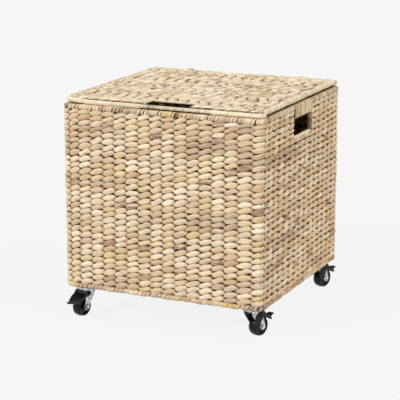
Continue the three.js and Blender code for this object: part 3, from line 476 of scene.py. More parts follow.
def stops(start, end, turn_start, turn_end, corners=()):
    """Places and phases of the rings from start to end: eight to each stake, finer round a corner.
    A stem that turns back round its last stake goes on by half a phase, and its place by
    TURN sin(pi phase)."""
    places = [np.arange(math.ceil(start * 8), math.floor(end * 8) + 1) / 8, [start, end]]
    for corner in corners:
        fine = corner + np.arange(-6, 7) / 32
        places.append(fine[(fine > start) & (fine < end)])
    at = phase = np.unique(np.round(np.concatenate(places), 4))
    past = np.arange(1, 5) / 8
    if turn_end:
        phase = np.concatenate([phase, end + past])
        at = np.concatenate([at, end + TURN * np.sin(np.pi * past)])
    if turn_start:
        phase = np.concatenate([start - past[::-1], phase])
        at = np.concatenate([start - TURN * np.sin(np.pi * past[::-1]), at])
    return at, phase


def weave_all(field, spans_of, lay, corners=(), **shape):
    """Bundles of all the stems of a field, grouped by the spans that they cover."""
    groups = {}
    for row in range(len(field["middle"])):
        for span in spans_of(row):
            groups.setdefault(span, []).append(row)
    return [
        weave(field, rows, *stops(*span, corners), lay, **shape)
        for span, rows in groups.items()
    ]


# The walls' line, seen from above
def rounded_line(half_x, half_y, radius, centre_y=0.0):
    """Points and outward directions round a rounded rectangle, anticlockwise from the middle of its
    front left corner, with the distance run so far: the corner's centre plus radius (cos, sin) of an
    angle that goes once round, and stands still at the sides while the centre moves on."""
    angles = np.radians(225 + np.linspace(0, 360, 97))
    quarter = np.clip(((np.degrees(angles) - 180) // 90).astype(int), 0, 4) % 4
    switch = np.isclose(np.degrees(angles) % 90, 0)
    first = np.where(switch, (quarter - 1) % 4, quarter)
    angles = np.repeat(angles, 1 + switch)
    quarter = np.concatenate([[a, b] if s else [b] for a, b, s in zip(first, quarter, switch)])
    sign_x = np.array([-1, 1, 1, -1])[quarter]
    sign_y = np.array([-1, -1, 1, 1])[quarter]
    x = sign_x * (half_x - radius) + radius * np.cos(angles)
    y = sign_y * (half_y - radius) + radius * np.sin(angles) + centre_y
    run = np.concatenate([[0], np.cumsum(np.hypot(np.diff(x), np.diff(y)))])
    return {"run": run, "x": x, "y": y, "nx": np.cos(angles), "ny": np.sin(angles), "length": run[-1]}


def on_line(line, run):
    """Point and outward direction at a distance along a line that closes on itself."""
    run = np.mod(run, line["length"])
    x, y, nx, ny = (np.interp(run, line["run"], line[key]) for key in ("x", "y", "nx", "ny"))
    size = np.hypot(nx, ny)
    return x, y, nx / size, ny / size


WALL_RADIUS = CORNER_RADIUS - WALL / 2  # radius of the walls' middle at a corner
WALL_LINE = rounded_line(HALF_WIDTH - WALL / 2, HALF_DEPTH - WALL / 2, WALL_RADIUS)


def stake_runs():
    """Distances along the walls' line at which the stakes stand: a post at each corner, and between
    the corners the stakes of the front and back or of the sides."""
    bend = WALL_RADIUS * math.pi / 4
    runs, start = [], 0.0
    for half, stakes in ((HALF_WIDTH, FRONT_STAKES), (HALF_DEPTH, SIDE_STAKES)) * 2:
        straight = half - CORNER_RADIUS
        runs += [start, *(start + bend + straight + place for place in stakes)]
        start += 2 * (straight + bend)
    return np.array(runs), start


STAKE_RUNS, WALL_RUN = stake_runs()
STAKES = len(STAKE_RUNS)


def run_at(place):
    """Distance along the walls' line at a place counted in stakes."""
    turn = np.floor(place / STAKES)
    within = place - turn * STAKES
    return np.interp(within, np.arange(STAKES + 1), [*STAKE_RUNS, WALL_RUN]) + turn * WALL_RUN


def on_wall(place, across, depth):
    """A point of the walls: depth outwards from their line at a place, across upwards. The stakes
    stray sideways with the height by STRAY sin(0.021 height + 1.9 stake + 0.4), but not at the
    corners."""
    held = np.abs(np.sin(np.pi * place / STAKES_PER_WALL)) ** 0.5
    stray = STRAY * held * np.sin(across * 0.021 + np.floor(place + 0.5) * 1.9 + 0.4)
    x, y, nx, ny = on_line(WALL_LINE, run_at(place) + stray)
    return np.stack([x + nx * depth, y + ny * depth, across], -1)


def upright_rods(places, low, high, radius=1.2):
    """Thin six-sided stakes standing in the walls, nearly hidden by the stems round them."""
    x, y, _, _ = on_line(WALL_LINE, run_at(np.array(places, float)))
    angle = round_turn(6)
    rings = np.zeros((len(x), 2, 6, 3))
    rings[..., 0] = x[:, None, None] + radius * np.cos(angle)
    rings[..., 1] = y[:, None, None] + radius * np.sin(angle)
    rings[..., 2] = np.array([low, high])[None, :, None]
    # mauve, and only 0.35 out of the hollows, so that painted brown shade covers part of their colour
    stem = np.broadcast_to([0.0, 0.0, 0.6, 0.35], (*rings.shape[:-1], 4))
    return rings, rings * 1.0, stem, False


def build_walls(material):
    """Four woven walls, that go a little way into the bindings of the base and the rim. Of the two
    stems of a course one turns the corners with the front and back walls and ends on the inside of
    the next stake, and the other passes inside the corner posts and ends there. At a hand hole both
    turn back round the last stake before it. The hole has a strand laid on its sill and one wound
    round the jamb towards the back."""
    low, high = FRONT_LOW[2] - 1.5, FRONT_HIGH[2] + 2
    hole_low = HANDLE_LOW[2] - HOLE_HEIGHT
    levels = np.interp(np.arange(COURSES + 1), [0, COURSES_BELOW_HOLE, COURSES], [low, hole_low, high])
    field = weave_field(levels, STAKES, True)
    for wall, name in enumerate(("front", "right", "back", "left")):
        first = wall * STAKES_PER_WALL
        last = first + STAKES_PER_WALL
        before_hole, after_hole = first + HOLE_STAKES[0], first + HOLE_STAKES[1]
        turns_corners = wall % 2 == 0

        def spans(row):
            reach = (1 if turns_corners else -1) if row % 2 == 0 else 0
            start, end = first - reach, last + reach
            if turns_corners or row // 2 < COURSES_BELOW_HOLE:
                return [(start, end, False, False)]
            return [(start, before_hole, False, True), (after_hole, end, True, False)]

        bundles = weave_all(
            field, spans, on_wall, (first, last), stem_length=WALL_RUN / STAKES,
            **(FRONT_AND_BACK_WEAVE if turns_corners else SIDE_WEAVE),
        )
        thin = [first + i for i in range(1, STAKES_PER_WALL) if i % ROD_EVERY]
        short = [] if turns_corners else [stake for stake in thin if before_hole < stake < after_hole]
        bundles.append(upright_rods([stake for stake in thin if stake not in short], low, high))
        if short:
            bundles.append(upright_rods(short, low, hole_low - 3))
            side = 1 if name == "right" else -1
            middle = side * (HALF_WIDTH - WALL / 2)
            half_sill, jamb_at = 46, 44.5
            sill = straight_path((middle, -half_sill, hole_low - 0.5), (0, 1, 0), (side, 0, 0))
            bundles += lengthwise(sill, 0, 2 * half_sill, 3.2)
            jamb = straight_path((middle, jamb_at, hole_low - 3), (0, 0, 1), (side, 0, 0))
            # the jamb's strand is darkened with painted shade
            bundles += wind(
                jamb, 0, HOLE_HEIGHT + 6, half_across=5.0, half_high=4.0, pitch=5.6, width=6.0, thick=1.4,
                tone=shaded_mauve_stems, steps=14,
            )
        piece("weave_" + name, bundles, material, "basket", "hyacinth_weave", "woven_" + name)


# Strand wound round a rod
def level_path(line, level):
    """The line as a path at a level, or at a level for each distance. A path gives the rod's middle and
    the outward and upward directions at a distance along it."""
    def path(run):
        x, y, nx, ny = on_line(line, run)
        centre = np.stack([x, y, (level(run) if callable(level) else level) + 0 * x], -1)
        outward = np.stack([nx, ny, 0 * x], -1)
        return centre, outward, np.broadcast_to([0.0, 0.0, 1.0], centre.shape)
    return path


def straight_path(origin, along, outward):
    """A straight rod as a path, from its origin along one direction."""
    along, outward = np.array(along, float), np.array(outward, float)
    up = np.cross(outward, along)

    def path(run):
        centre = np.array(origin, float) + run[..., None] * along
        return centre, outward + 0 * centre, up + 0 * centre
    return path


def wind(path, start, end, half_across, half_high, pitch, width, thick, looped=False, power=2.6,
         tone=stem_colours, wave=0.0, around=6, steps=20, edge=0.3):
    """Strand wound in a helix round a rod or band along a path, one pitch further on each turn. It
    lies on the band: a point at a distance d across the strand is d cos(slope) further along the
    path and d sin(slope) back round the band, where tan(slope) = pitch / girth. Each turn has its
    own width, thickness and colour. The whole winding sways up and down by wave, in two sines 61 and
    23 mm long. Shade is painted along the edges of each turn and on its side against the rod: edge is
    how far out of the hollows, for that painted shade, the strand's edges are, and its middle is right
    out of them."""
    turns = max(1, round((end - start) / pitch))
    turn = np.arange(turns * steps + (0 if looped else 1)) / steps
    own = np.arange(turns + 1)
    if looped:
        own[-1] = 0
    half_across, half_high = half_across - thick, half_high - thick
    girth = np.pi * (half_across + half_high)
    slope = math.atan2(pitch, girth)
    ring = round_turn(around)
    size = np.clip(DICE.normal(1, 0.12, turns + 1), 0.75, 1.3)[own]
    shift = np.clip(DICE.normal(0, 0.1, turns + 1), -0.2, 0.2)[own]
    colours = tone((1, turns + 1))[0][own]
    size, shift, *colour = (
        np.interp(turn, np.arange(turns + 1), values) for values in (size, shift, *colours.T)
    )
    wide = (width / 2 * size)[:, None] * np.cos(ring)
    deep = (thick * (0.5 + 0.5 * size))[:, None] * np.sin(ring)
    travel = start + (end - start) * turn / turns + shift * pitch
    run = travel[:, None] + wide * math.cos(slope)
    angle = (2 * np.pi * turn - np.pi / 2)[:, None] - wide * math.sin(slope) * 2 * np.pi / girth
    in_out, up_down, away = band(half_across, half_high, power, angle)
    sway = wave * np.sin(2 * np.pi * run / 61.0 + 1.7) + 0.6 * wave * np.sin(2 * np.pi * run / 23.0)
    centre, outward, up = path(run)
    rings = (
        centre
        + outward * (in_out + away[..., 0] * deep)[..., None]
        + up * (up_down + sway + away[..., 1] * deep)[..., None]
    )
    grain = np.stack([girth * turn[:, None] + 0 * wide, wide, deep], -1)
    # painted shade: darker towards each turn's edges and on its side against the rod, down to half of edge
    bright = np.clip(edge + 0.9 * np.sin(ring), 0.5 * edge, 1)[None, :] + 0 * wide
    stem = np.stack([*(part[:, None] + 0 * wide for part in colour), bright], -1)
    return [(rings[None], grain[None], stem[None], looped)]


def lengthwise(path, start, end, radius, colour=(0.35, 0.12, 0.0, 1.0), around=12):
    """A thick round strand laid along a path, its thickness a little uneven and its ends rounded off."""
    run = np.linspace(start, end, max(8, round((end - start) / 3)))
    centre, outward, up = path(run)
    wobble = 1 + 0.06 * np.interp(run, np.linspace(start, end, 14), DICE.normal(size=14))
    taper = np.clip(np.minimum(run - start, end - run) / 3 + 0.5, 0, 1) ** 0.5
    size = (radius * wobble * taper)[:, None]
    wide, deep = size * np.cos(round_turn(around)), size * np.sin(round_turn(around))
    rings = centre[:, None] + outward[:, None] * wide[..., None] + up[:, None] * deep[..., None]
    grain = np.stack([run[:, None] + 0 * wide, wide, deep], -1)
    stem = np.broadcast_to(colour, (*wide.shape, 4))
    return [(rings[None], grain[None], stem[None], False)]


def build_rims(material):
    """Binding of the rim, in two lengths between the handles, and of the bottom edge."""
    bend = WALL_RADIUS * math.pi / 4
    side = HALF_DEPTH - CORNER_RADIUS
    wide = 2 * (HALF_WIDTH - CORNER_RADIUS) + 2 * bend
    reach = bend + side - HANDLE_HIGH[1]
    back_right = wide + 2 * side + 2 * bend
    rim = level_path(WALL_LINE, (RIM_HIGH[2] + RIM_LOW[2]) / 2)
    for name, start, end in (
        ("front", -reach, wide + reach),
        ("back", back_right - reach, back_right + wide + reach),
    ):
        # edge near nought: deep painted shade at the seams between turns
        bundles = wind(
            rim, start, end, half_across=WALL / 2, half_high=(RIM_HIGH[2] - RIM_LOW[2]) / 2, pitch=7.0,
            width=7.2, thick=1.5, tone=bound_stems, edge=0.05, around=8,
        )
        piece("rim_binding_" + name, bundles, material, "basket", "hyacinth_binding", "rim_wrap_" + name)
    base = level_path(WALL_LINE, (BASE_HIGH[2] + BASE_LOW[2]) / 2)
    # edge near nought: deep painted shade at the seams between turns
    bundles = wind(
        base, 0, WALL_LINE["length"], half_across=WALL / 2, half_high=(BASE_HIGH[2] - BASE_LOW[2]) / 2,
        pitch=8.2, width=8.6, thick=1.5, looped=True, wave=0.5, tone=bound_stems, edge=0.1, around=8,
    )
    piece("base_binding", bundles, material, "basket", "hyacinth_binding", "base_wrap")


def build_handles(material):
    """Each handle is a row of flat strands laid side by side round the rim above its hand hole: rings
    of a rounded flat section carried round the band |x / a|^4 + |z / b|^4 = 1, each leaning a little
    along the rim."""
    centre = (HANDLE_HIGH + HANDLE_LOW) / 2
    half = (HANDLE_HIGH - HANDLE_LOW) / 2
    strips, steps, around, thick = 11, 40, 8, 1.3
    shape = (strips, steps, around)
    width = 2 * half[1] / strips
    angle, ring = round_turn(steps), round_turn(around)
    in_out, up_down, away = band(half[0] - thick, half[2] - thick, 4.0, angle)
    strip_middle = (HANDLE_LOW[1] + width * (np.arange(strips) + 0.5))[:, None, None]
    wide = np.broadcast_to(signed_power(np.cos(ring), 0.8) * (width / 2 + 0.1), shape)
    run = np.cumsum(np.hypot(np.diff(in_out, prepend=in_out[0]), np.diff(up_down, prepend=up_down[0])))
    for side, name in ((1, "right"), (-1, "left")):
        grow = DICE.normal(1, 0.1, strips)[:, None, None]
        deep = signed_power(np.sin(ring), 0.8) * thick * grow + np.zeros(shape)
        rings = np.zeros((*shape, 3))
        rings[..., 0] = side * (centre[0] + in_out[:, None] + away[:, None, 0] * deep)
        rings[..., 1] = strip_middle + wide + 0.4 * np.sin(angle + 1)[:, None]
        rings[..., 2] = centre[2] + up_down[:, None] + away[:, None, 1] * deep
        # steps of 97 mm give each strand a grain of its own
        grain = np.stack([run[:, None] + 97.0 * np.arange(strips)[:, None, None] + 0 * wide, wide, deep], -1)
        colours = stem_colours((1, strips), 1.8, 1.6)[0][:, None, None, :] + np.zeros((*shape, 3))
        # painted shade: the strips are darker towards their edges and on their side against the band
        bright = np.clip(0.3 + 0.9 * np.sin(ring), 0, 1) + np.zeros(shape)
        stem = np.concatenate([colours, bright[..., None]], -1)
        piece("handle_" + name, [(rings, grain, stem, True)], material, "basket", "handle_binding",
              "handle_wrap_" + name)


# Lid
LID_RADIUS = LID_CORNER_RADIUS - LID_BORDER / 2  # radius of the border's middle at a corner
LID_LINE = rounded_line(
    LID_HIGH[0] - LID_BORDER / 2, (LID_HIGH[1] - LID_LOW[1]) / 2 - LID_BORDER / 2, LID_RADIUS,
    centre_y=(LID_HIGH[1] + LID_LOW[1]) / 2,
)


def build_lid_panel(material):
    """The lid's panel, woven along X, with its courses broken at the finger slot and at the windows
    for the hinge loops. It is looser than the walls: its stems stand at more uneven heights, its
    courses are shifted along, and its stakes stray by eight small sines."""
    width = PANEL_HIGH[0] - PANEL_LOW[0] + 3
    level = (PANEL_HIGH[2] + PANEL_LOW[2]) / 2
    spacing = width / LID_STAKES
    slot_back = SLOT_HIGH[1] - 1.5
    front_to_back = (PANEL_LOW[1], slot_back, PANEL_HIGH[1])
    levels = np.interp(np.arange(LID_COURSES + 1), [0, COURSES_AT_SLOT, LID_COURSES], front_to_back)
    field = weave_field(
        levels, LID_STAKES + 1, False, wander=1.5, jitter=1.2, colours=pale_stems, plateau=0.8, shift=0.3,
        uneven=0.1,
    )
    field["lift"] = np.clip(DICE.normal(0, 0.8, field["lift"].shape), -1.6, 1.2)
    strays = DICE.normal(size=(8, 3)) * [1.6, 0.02, 1]

    def to_place(x):
        return round((x + width / 2) / spacing, 3)

    slot = (to_place(SLOT_LOW[0] + 2), to_place(SLOT_HIGH[0] - 2))
    loops = [corners_of("hinge_loop_" + side) for side in ("left", "right")]
    windows = [to_place(edge) for low, high in loops for edge in (low[0] - 1, high[0] + 1)]
    windows_from = loops[0][0][1] - 4

    def spans(row):
        middle = (levels[row // 2] + levels[row // 2 + 1]) / 2
        if middle < slot_back:
            breaks = slot
        elif middle > windows_from:
            breaks = windows
        else:
            breaks = ()
        edges = (0, *breaks, LID_STAKES)
        return [(start, end, False, False) for start, end in zip(edges[::2], edges[1::2])]

    def on_lid(place, across, depth):
        x = place * spacing - width / 2
        inner = np.clip(np.minimum(place, LID_STAKES - place), 0, 1)
        shift = sum(size * np.sin(across * (0.06 + step) + x * 0.01 + turn) for size, step, turn in strays)
        return np.stack([x + inner * shift, across, level + depth], -1)

    bundles = weave_all(field, spans, on_lid, stem_length=spacing, **LID_WEAVE)
    piece("lid_weave", bundles, material, "lid", "lid_weave", "lid_panel")


def build_lid_border(material):
    """The lid's edge: a coil thrown over the rod at the sides and back, one turn to a course of the
    panel, 2.4 mm higher at the sides than at the back; a close binding in the middle of the front;
    and on both sides of that thick strands laid end to end, which rise by 2.9 mm towards the left
    corner."""
    bend = LID_RADIUS * math.pi / 4
    wide = 2 * (LID_HIGH[0] - LID_CORNER_RADIUS) + 2 * bend
    half = LID_BORDER / 2

    def coil_level(run):
        return LID_LEVEL + 2.4 * np.clip((LID_HIGH[1] - 5 - on_line(LID_LINE, run)[1]) / 12, 0, 1)

    def front_level(run):
        return LID_LEVEL - 2.1 + 2.9 * np.clip(1 - run / 42, 0, 1)

    def at_x(x):
        return bend + x + LID_HIGH[0] - LID_CORNER_RADIUS

    bundles = wind(
        level_path(LID_LINE, coil_level), wide + 5, LID_LINE["length"] + 1, half_across=half - 0.2,
        half_high=half - 0.6, pitch=14.4, width=12.0, thick=2.5, power=2.0, wave=0.15, tone=pale_stems,
        edge=0.25, around=10,
    )
    bundles += wind(
        level_path(LID_LINE, LID_LEVEL - 1.5), at_x(-45), at_x(98), half_across=half - 1.8,
        half_high=half - 1.9, pitch=4.6, width=4.7, thick=0.6, power=2.0, tone=whitish_stems,
    )
    # where one of the laid strands ends and the next begins, left and right of the binding
    seams = (-3, 31, 90, at_x(-44)), (at_x(96), at_x(127), at_x(173), wide + 9)
    for start, end in [pair for run in seams for pair in zip(run, run[1:])]:
        colour = (DICE.uniform(0.15, 0.5), 0.1, DICE.uniform(0, 0.15), 1.0)
        radius = half - 0.9 + DICE.uniform(-0.2, 0.3)
        bundles += lengthwise(level_path(LID_LINE, front_level), start - 1, end + 1, radius, colour)
    piece("lid_edge", bundles, material, "lid", "lid_binding", "lid_border")


def build_slot_binding(material):
    """Whitish strand wound closely round the two ends and the back of the finger slot, along a line of
    three sides with its corners cut. The line starts and ends 8 mm in front of the slot, and the
    winding 5 mm in front of it."""
    half = SLOT_BINDING / 2
    left, right = SLOT_LOW[0] + half, SLOT_HIGH[0] - half
    spare = 8.0
    front, back = SLOT_LOW[1] - spare, SLOT_HIGH[1] - half
    cut = 1.5
    x = np.array([left, left, left + cut, right - cut, right, right])
    y = np.array([front, back - cut, back, back, back - cut, front])
    nx = np.array([-1, -1, -0.4, 0.4, 1, 1.0])
    ny = np.array([0, 0.3, 1, 1, 0.3, 0.0])
    run = np.concatenate([[0], np.cumsum(np.hypot(np.diff(x), np.diff(y)))])
    line = {"run": run, "x": x, "y": y, "nx": nx, "ny": ny, "length": run[-1] + 1e-6}
    bundles = wind(
        level_path(line, SLOT_HIGH[2] - 1.2), spare - 5, run[-1] - spare + 5, half_across=half + 0.2,
        half_high=2.3, pitch=4.0, width=4.2, thick=0.7, tone=whitish_stems, power=2.2, edge=0.4,
    )
    piece("slot_edge", bundles, material, "lid", "lid_binding", "slot_binding")


def build_floor_weave(material):
    """The box's bottom, woven along X like the lid, over the cross rods and the casters' plates."""
    width = FLOOR_HIGH[0] - FLOOR_LOW[0]
    levels = np.linspace(FLOOR_LOW[1], FLOOR_HIGH[1], FLOOR_COURSES + 1)
    field = weave_field(levels, FLOOR_STAKES + 1, False)
    level = (FLOOR_HIGH[2] + FLOOR_LOW[2]) / 2
    spacing = width / FLOOR_STAKES

    def spans(row):
        return [(0, FLOOR_STAKES, False, False)]

    def on_floor(place, across, depth):
        return np.stack([place * spacing - width / 2, across, level + depth], -1)

    bundles = weave_all(field, spans, on_floor, stem_length=spacing, **FLOOR_WEAVE)
    piece("floor_weave", bundles, material, "basket", "hyacinth_weave", "woven_floor")


# Stems of the same plant, told apart by their colour: tan where they are woven in the walls and floor,
# deeper and browner in the bindings that hands rub, and whitish on the lid
HYACINTH = dried_stem("water_hyacinth_dried_and_woven", "CEB08C", "F2E1C6")
HYACINTH_BOUND = dried_stem("water_hyacinth_wound_binding", "C6A683", "EBD8BC")
HYACINTH_FLAT = dried_stem("water_hyacinth_flat_binding", "C9AA82", "EBD7B6")
# on the lid the painted shade of the hollows reaches further up the stems
HYACINTH_LID = dried_stem("water_hyacinth_bleached_and_woven", "C4AD8A", "EADFCA", hollow=0.9)

build_walls(HYACINTH)
build_rims(HYACINTH_BOUND)
build_handles(HYACINTH_FLAT)
build_lid_panel(HYACINTH_LID)
build_lid_border(HYACINTH_LID)
build_slot_binding(HYACINTH_LID)
build_floor_weave(HYACINTH)


# Plain finishes of the metal and moulded pieces
def zinc_plated(name, dull, bright):
    """Steel pressed and zinc plated. To the eye it is a bright, cool grey metal with sharp highlights,
    and duller, greyer patches five millimetres across, which stand for clouded plating and for
    darker reflections painted in."""
    material, tree, shader = new_material(name)
    place = add_node(tree, "ShaderNodeTexCoord")
    patch_across = 5 * MM
    patch = add_node(
        tree, "ShaderNodeTexNoise", {"Vector": place.outputs["Object"], "Scale": 1 / patch_across, "Detail": 3.0}
    )
    clouding_and_painted_reflection = add_node(
        # duller patches: clouded plating, with darker reflections painted in
        tree, "ShaderNodeMapRange", {"Value": patch.outputs[0], "From Min": 0.4, "From Max": 0.62}, **EASED
    )
    colour = add_node(
        tree, "ShaderNodeMix", {0: clouding_and_painted_reflection.outputs[0], 6: linear(dull), 7: linear(bright)}, **OF_COLOURS
    )
    rough = add_node(tree, "ShaderNodeMapRange", {"Value": clouding_and_painted_reflection.outputs[0], "To Min": 0.42, "To Max": 0.2})
    tree.links.new(colour.outputs[2], shader.inputs["Base Color"])
    tree.links.new(rough.outputs[0], shader.inputs["Roughness"])
    shader.inputs["Metallic"].default_value = 1.0
    return material


def plain_finish(name, colour, roughness, metallic=0.0, specular=0.5):
    """A hard surface of one colour with a fine grit that changes its roughness by about a fifth and
    stands as a faint bump. The real grit is a tenth of a millimetre across or less, too fine to
    show, and is drawn 0.4 mm across."""
    material, tree, shader = new_material(name)
    place = add_node(tree, "ShaderNodeTexCoord")
    grain = 0.4 * MM
    grit = add_node(
        tree, "ShaderNodeTexNoise", {"Vector": place.outputs["Object"], "Scale": 1 / grain, "Detail": 3.0}
    )
    spread = {"From Min": 0.3, "From Max": 0.7, "To Min": roughness * 0.8, "To Max": roughness * 1.25}
    rough = add_node(tree, "ShaderNodeMapRange", {"Value": grit.outputs[0], **spread}, **EASED)
    tree.links.new(rough.outputs[0], shader.inputs["Roughness"])
    bump = add_node(tree, "ShaderNodeBump", {"Height": grit.outputs[0], "Strength": 0.08, "Distance": 0.0002})
    tree.links.new(bump.outputs[0], shader.inputs["Normal"])
    shader.inputs["Base Color"].default_value = linear(colour)
    shader.inputs["Metallic"].default_value = metallic
    shader.inputs["Specular IOR Level"].default_value = specular
    return material


FINISHES = {
    # powder sprayed on and baked: near black, with a wide, soft sheen
    "frame_steel": plain_finish("steel_powder_coated_black", "26221F", 0.45),
    "plate_steel": plain_finish("steel_plate_powder_coated_black", "26221F", 0.45),
    "zinc_plate": zinc_plated("steel_pressed_and_zinc_plated", "96989C", "E4E6E8"),
    # hardened, ground and greased: a darker metal with a wet gleam
    "bearing_steel": plain_finish("bearing_steel_greased", "8F9092", 0.3, 1.0),
    # nylon from a polished mould: deep black with small sharp glints on the wheels, softer on pedals
    "wheel_nylon": plain_finish("nylon_moulded_black_glossy", "0B0B0C", 0.16, specular=0.2),
    "pedal_nylon": plain_finish("nylon_moulded_black_satin", "0B0B0C", 0.3, specular=0.2),
}
# Each node of the frame whose slot is among them wears its finish
for part in frame["record"]["subparts"]:
    if part["material_slot"] in FINISHES:
        node = frame["nodes"][part["node"]]
        node.data.materials.clear()
        node.data.materials.append(FINISHES[part["material_slot"]])


# Casters, in millimetres ahead of the swivel axis towards the axle, aside, and up from the floor
JOINTS = {joint["name"]: joint for joint in frame["record"]["behaviour"]["joints"]}
AXLE = (16.0, 19.0)
PEDAL_PIVOT = (9.0, 44.0)
CHEEK = (12.0, 13.8)  # inner and outer face of the pedal's side plates
SHOE_RADIUS = 24.1
PEDAL_SHEET = 1.8  # thickness of the pedal's sheet


def in_caster(place, points):
    """Points ahead, aside and up of a caster's swivel axis, set in the frame."""
    swivel = np.array(JOINTS["swivel_" + place]["pos_m"]) / MM
    ahead = np.array(JOINTS["roll_" + place]["pos_m"]) / MM - swivel
    ahead = ahead * [1, 1, 0] / np.hypot(ahead[0], ahead[1])
    aside = np.array([-ahead[1], ahead[0], 0])
    flat = points[..., :1] * ahead + points[..., 1:2] * aside + swivel * [1, 1, 0]
    return flat + points[..., 2:] * [0, 0, 1]


def wheel_section():
    """Radius and place aside of a wheel's section: bore, hub, web, tyre and crowned tread. The tread's
    rounded edge is a quarter of an ellipse, and its middle rises by 0.7 (1 - (aside / 5.3)^2)."""
    bend = np.radians(np.arange(0, 91, 15))
    flank = [
        (2.8, 8.4), (6.1, 8.4), (6.5, 8.0), (6.9, 4.7), (7.4, 4.5), (12.3, 4.5), (12.8, 4.8), (13.2, 7.4),
        (13.6, 7.8), (15.4, 8.3),
    ]
    crown = np.array([3.9, 2.6, 1.3])
    side = np.concatenate([
        flank,
        np.stack([16.1 + 2.2 * np.sin(bend), 5.3 + 3.2 * np.cos(bend)], -1),
        np.stack([18.3 + 0.7 * (1 - (crown / 5.3) ** 2), crown], -1),
    ])
    return np.concatenate([side, [(19.0, 0.0)], side[::-1] * [1, -1]])


def wheel(place):
    """A wheel: its section turned round its axle in 64 steps."""
    section = wheel_section()
    turn = round_turn(64)[:, None]
    points = np.stack([
        AXLE[0] + section[:, 0] * np.cos(turn),
        section[:, 1] + 0 * turn,
        AXLE[1] + section[:, 0] * np.sin(turn),
    ], -1)
    hard_piece("wheel_" + place + "_moulded", [(in_caster(place, points)[None], True)],
               FINISHES["wheel_nylon"], "wheel_" + place, "wheel_nylon", "wheel_" + place)


def through(points, steps):
    """A smooth closed line through points, in a number of steps from each to the next."""
    points = np.array(points, float)
    part = (np.arange(steps) / steps)[None, :, None]
    line = between(*(np.roll(points, 1 - i, axis=0)[:, None] for i in range(4)), part)
    return line.reshape(-1, points.shape[1])


def left_of(travel):
    """Directions square to a line's travel, to its left."""
    return np.stack([-travel[:, 1], travel[:, 0]], -1) / np.hypot(*travel.T)[:, None]


def cheek(side):
    """One of the pedal's side plates, outside the fork's leg, from round the pivot back to the shoe.
    The plate on the right as the caster trails also reaches down over the front of the wheel. Its
    edges are broken by 0.4."""
    rear = [(38.3, 30.2), (35.0, 35.4), (29.5, 40.2), (22.0, 43.6), (17.6, 48.6), (10.0, 49.6)]
    round_pivot = [(4.6, 46.2), (4.8, 41.4), (9.6, 39.2)]
    guard = [
        (4.0, 47.2), (-4.5, 39.5), (-9.5, 31.5), (-6.5, 24.0), (1.5, 18.5), (6.0, 21.0), (9.0, 30.0),
        (12.5, 35.0),
    ]
    under = [(18.0, 38.4), (25.0, 37.2), (32.0, 32.0), (35.6, 28.4)]
    edge = 0.4
    outline = through(rear + (guard if side < 0 else round_pivot) + under, 4)
    broken = outline + edge * left_of(np.roll(outline, -1, axis=0) - np.roll(outline, 1, axis=0))
    inner, outer = CHEEK
    rings = (broken, inner), (outline, inner + edge), (outline, outer - edge), (broken, outer)
    return np.array([
        np.stack([line[:, 0], side * level + 0 * line[:, 0], line[:, 1]], -1) for line, level in rings
    ])


def shoe_and_tab():
    """The pedal's sheet: a hood behind the fork, a shoe round the tread, and a tab that bends out and
    up from it. A flat section, the rounded rectangle of half the sheet by the reach aside, follows
    the line, with the tab narrower than the shoe and rounded at its end."""
    arc = np.radians(np.arange(80, 23, -8))
    hood = [(15.4, 50.2), (16.6, 47.6), (18.3, 44.8)]
    shoe = np.stack([AXLE[0] + SHOE_RADIUS * np.cos(arc), AXLE[1] + SHOE_RADIUS * np.sin(arc)], -1)
    tab = [
        (38.9, 28.3), (40.2, 28.2), (42.0, 29.3), (44.5, 31.6), (47.5, 33.4), (51.0, 34.0), (54.0, 33.6),
        (55.6, 33.2),
    ]
    line = np.concatenate([hood, shoe, tab])
    # half the sheet's width at each point: the shoe's as far as the eleventh, then the tab's
    reach = np.interp(np.arange(len(line)), [0, 10, 11.5, 16, 17, 18], [13.8, 13.8, 7.5, 6.5, 5.6, 3.6])
    away = left_of(np.gradient(line, axis=0))
    turn = round_turn(20)
    off = PEDAL_SHEET / 2 * signed_power(np.sin(turn), 0.5)
    return np.stack([
        line[:, :1] + away[:, :1] * off,
        reach[:, None] * signed_power(np.cos(turn), 0.25),
        line[:, 1:] + away[:, 1:] * off,
    ], -1)


def pivot_pin(side):
    """The pedal's pin through a leg, with a low round head outside the cheek: circles of each radius
    at each place aside."""
    turn = round_turn(20)
    radius, aside = np.array([(2.2, 10.0), (2.2, 12.6), (3.4, 13.6), (3.4, 14.4), (2.6, 14.9)]).T[..., None]
    return np.stack([
        PEDAL_PIVOT[0] + radius * np.cos(turn),
        side * aside + 0 * turn,
        PEDAL_PIVOT[1] + radius * np.sin(turn),
    ], -1)


def brake_pedal(place):
    """The pedal: hood, shoe and tab in one sheet, with two cheeks and their pins."""
    parts = [shoe_and_tab(), cheek(1), cheek(-1), pivot_pin(1), pivot_pin(-1)]
    hard_piece("brake_pedal_" + place + "_moulded", [(in_caster(place, part)[None], False) for part in parts],
               FINISHES["pedal_nylon"], "pedal_" + place, "pedal_nylon", "brake_pedal_" + place)


for place in ("front_left", "front_right", "back_right", "back_left"):
    wheel(place)
    brake_pedal(place)


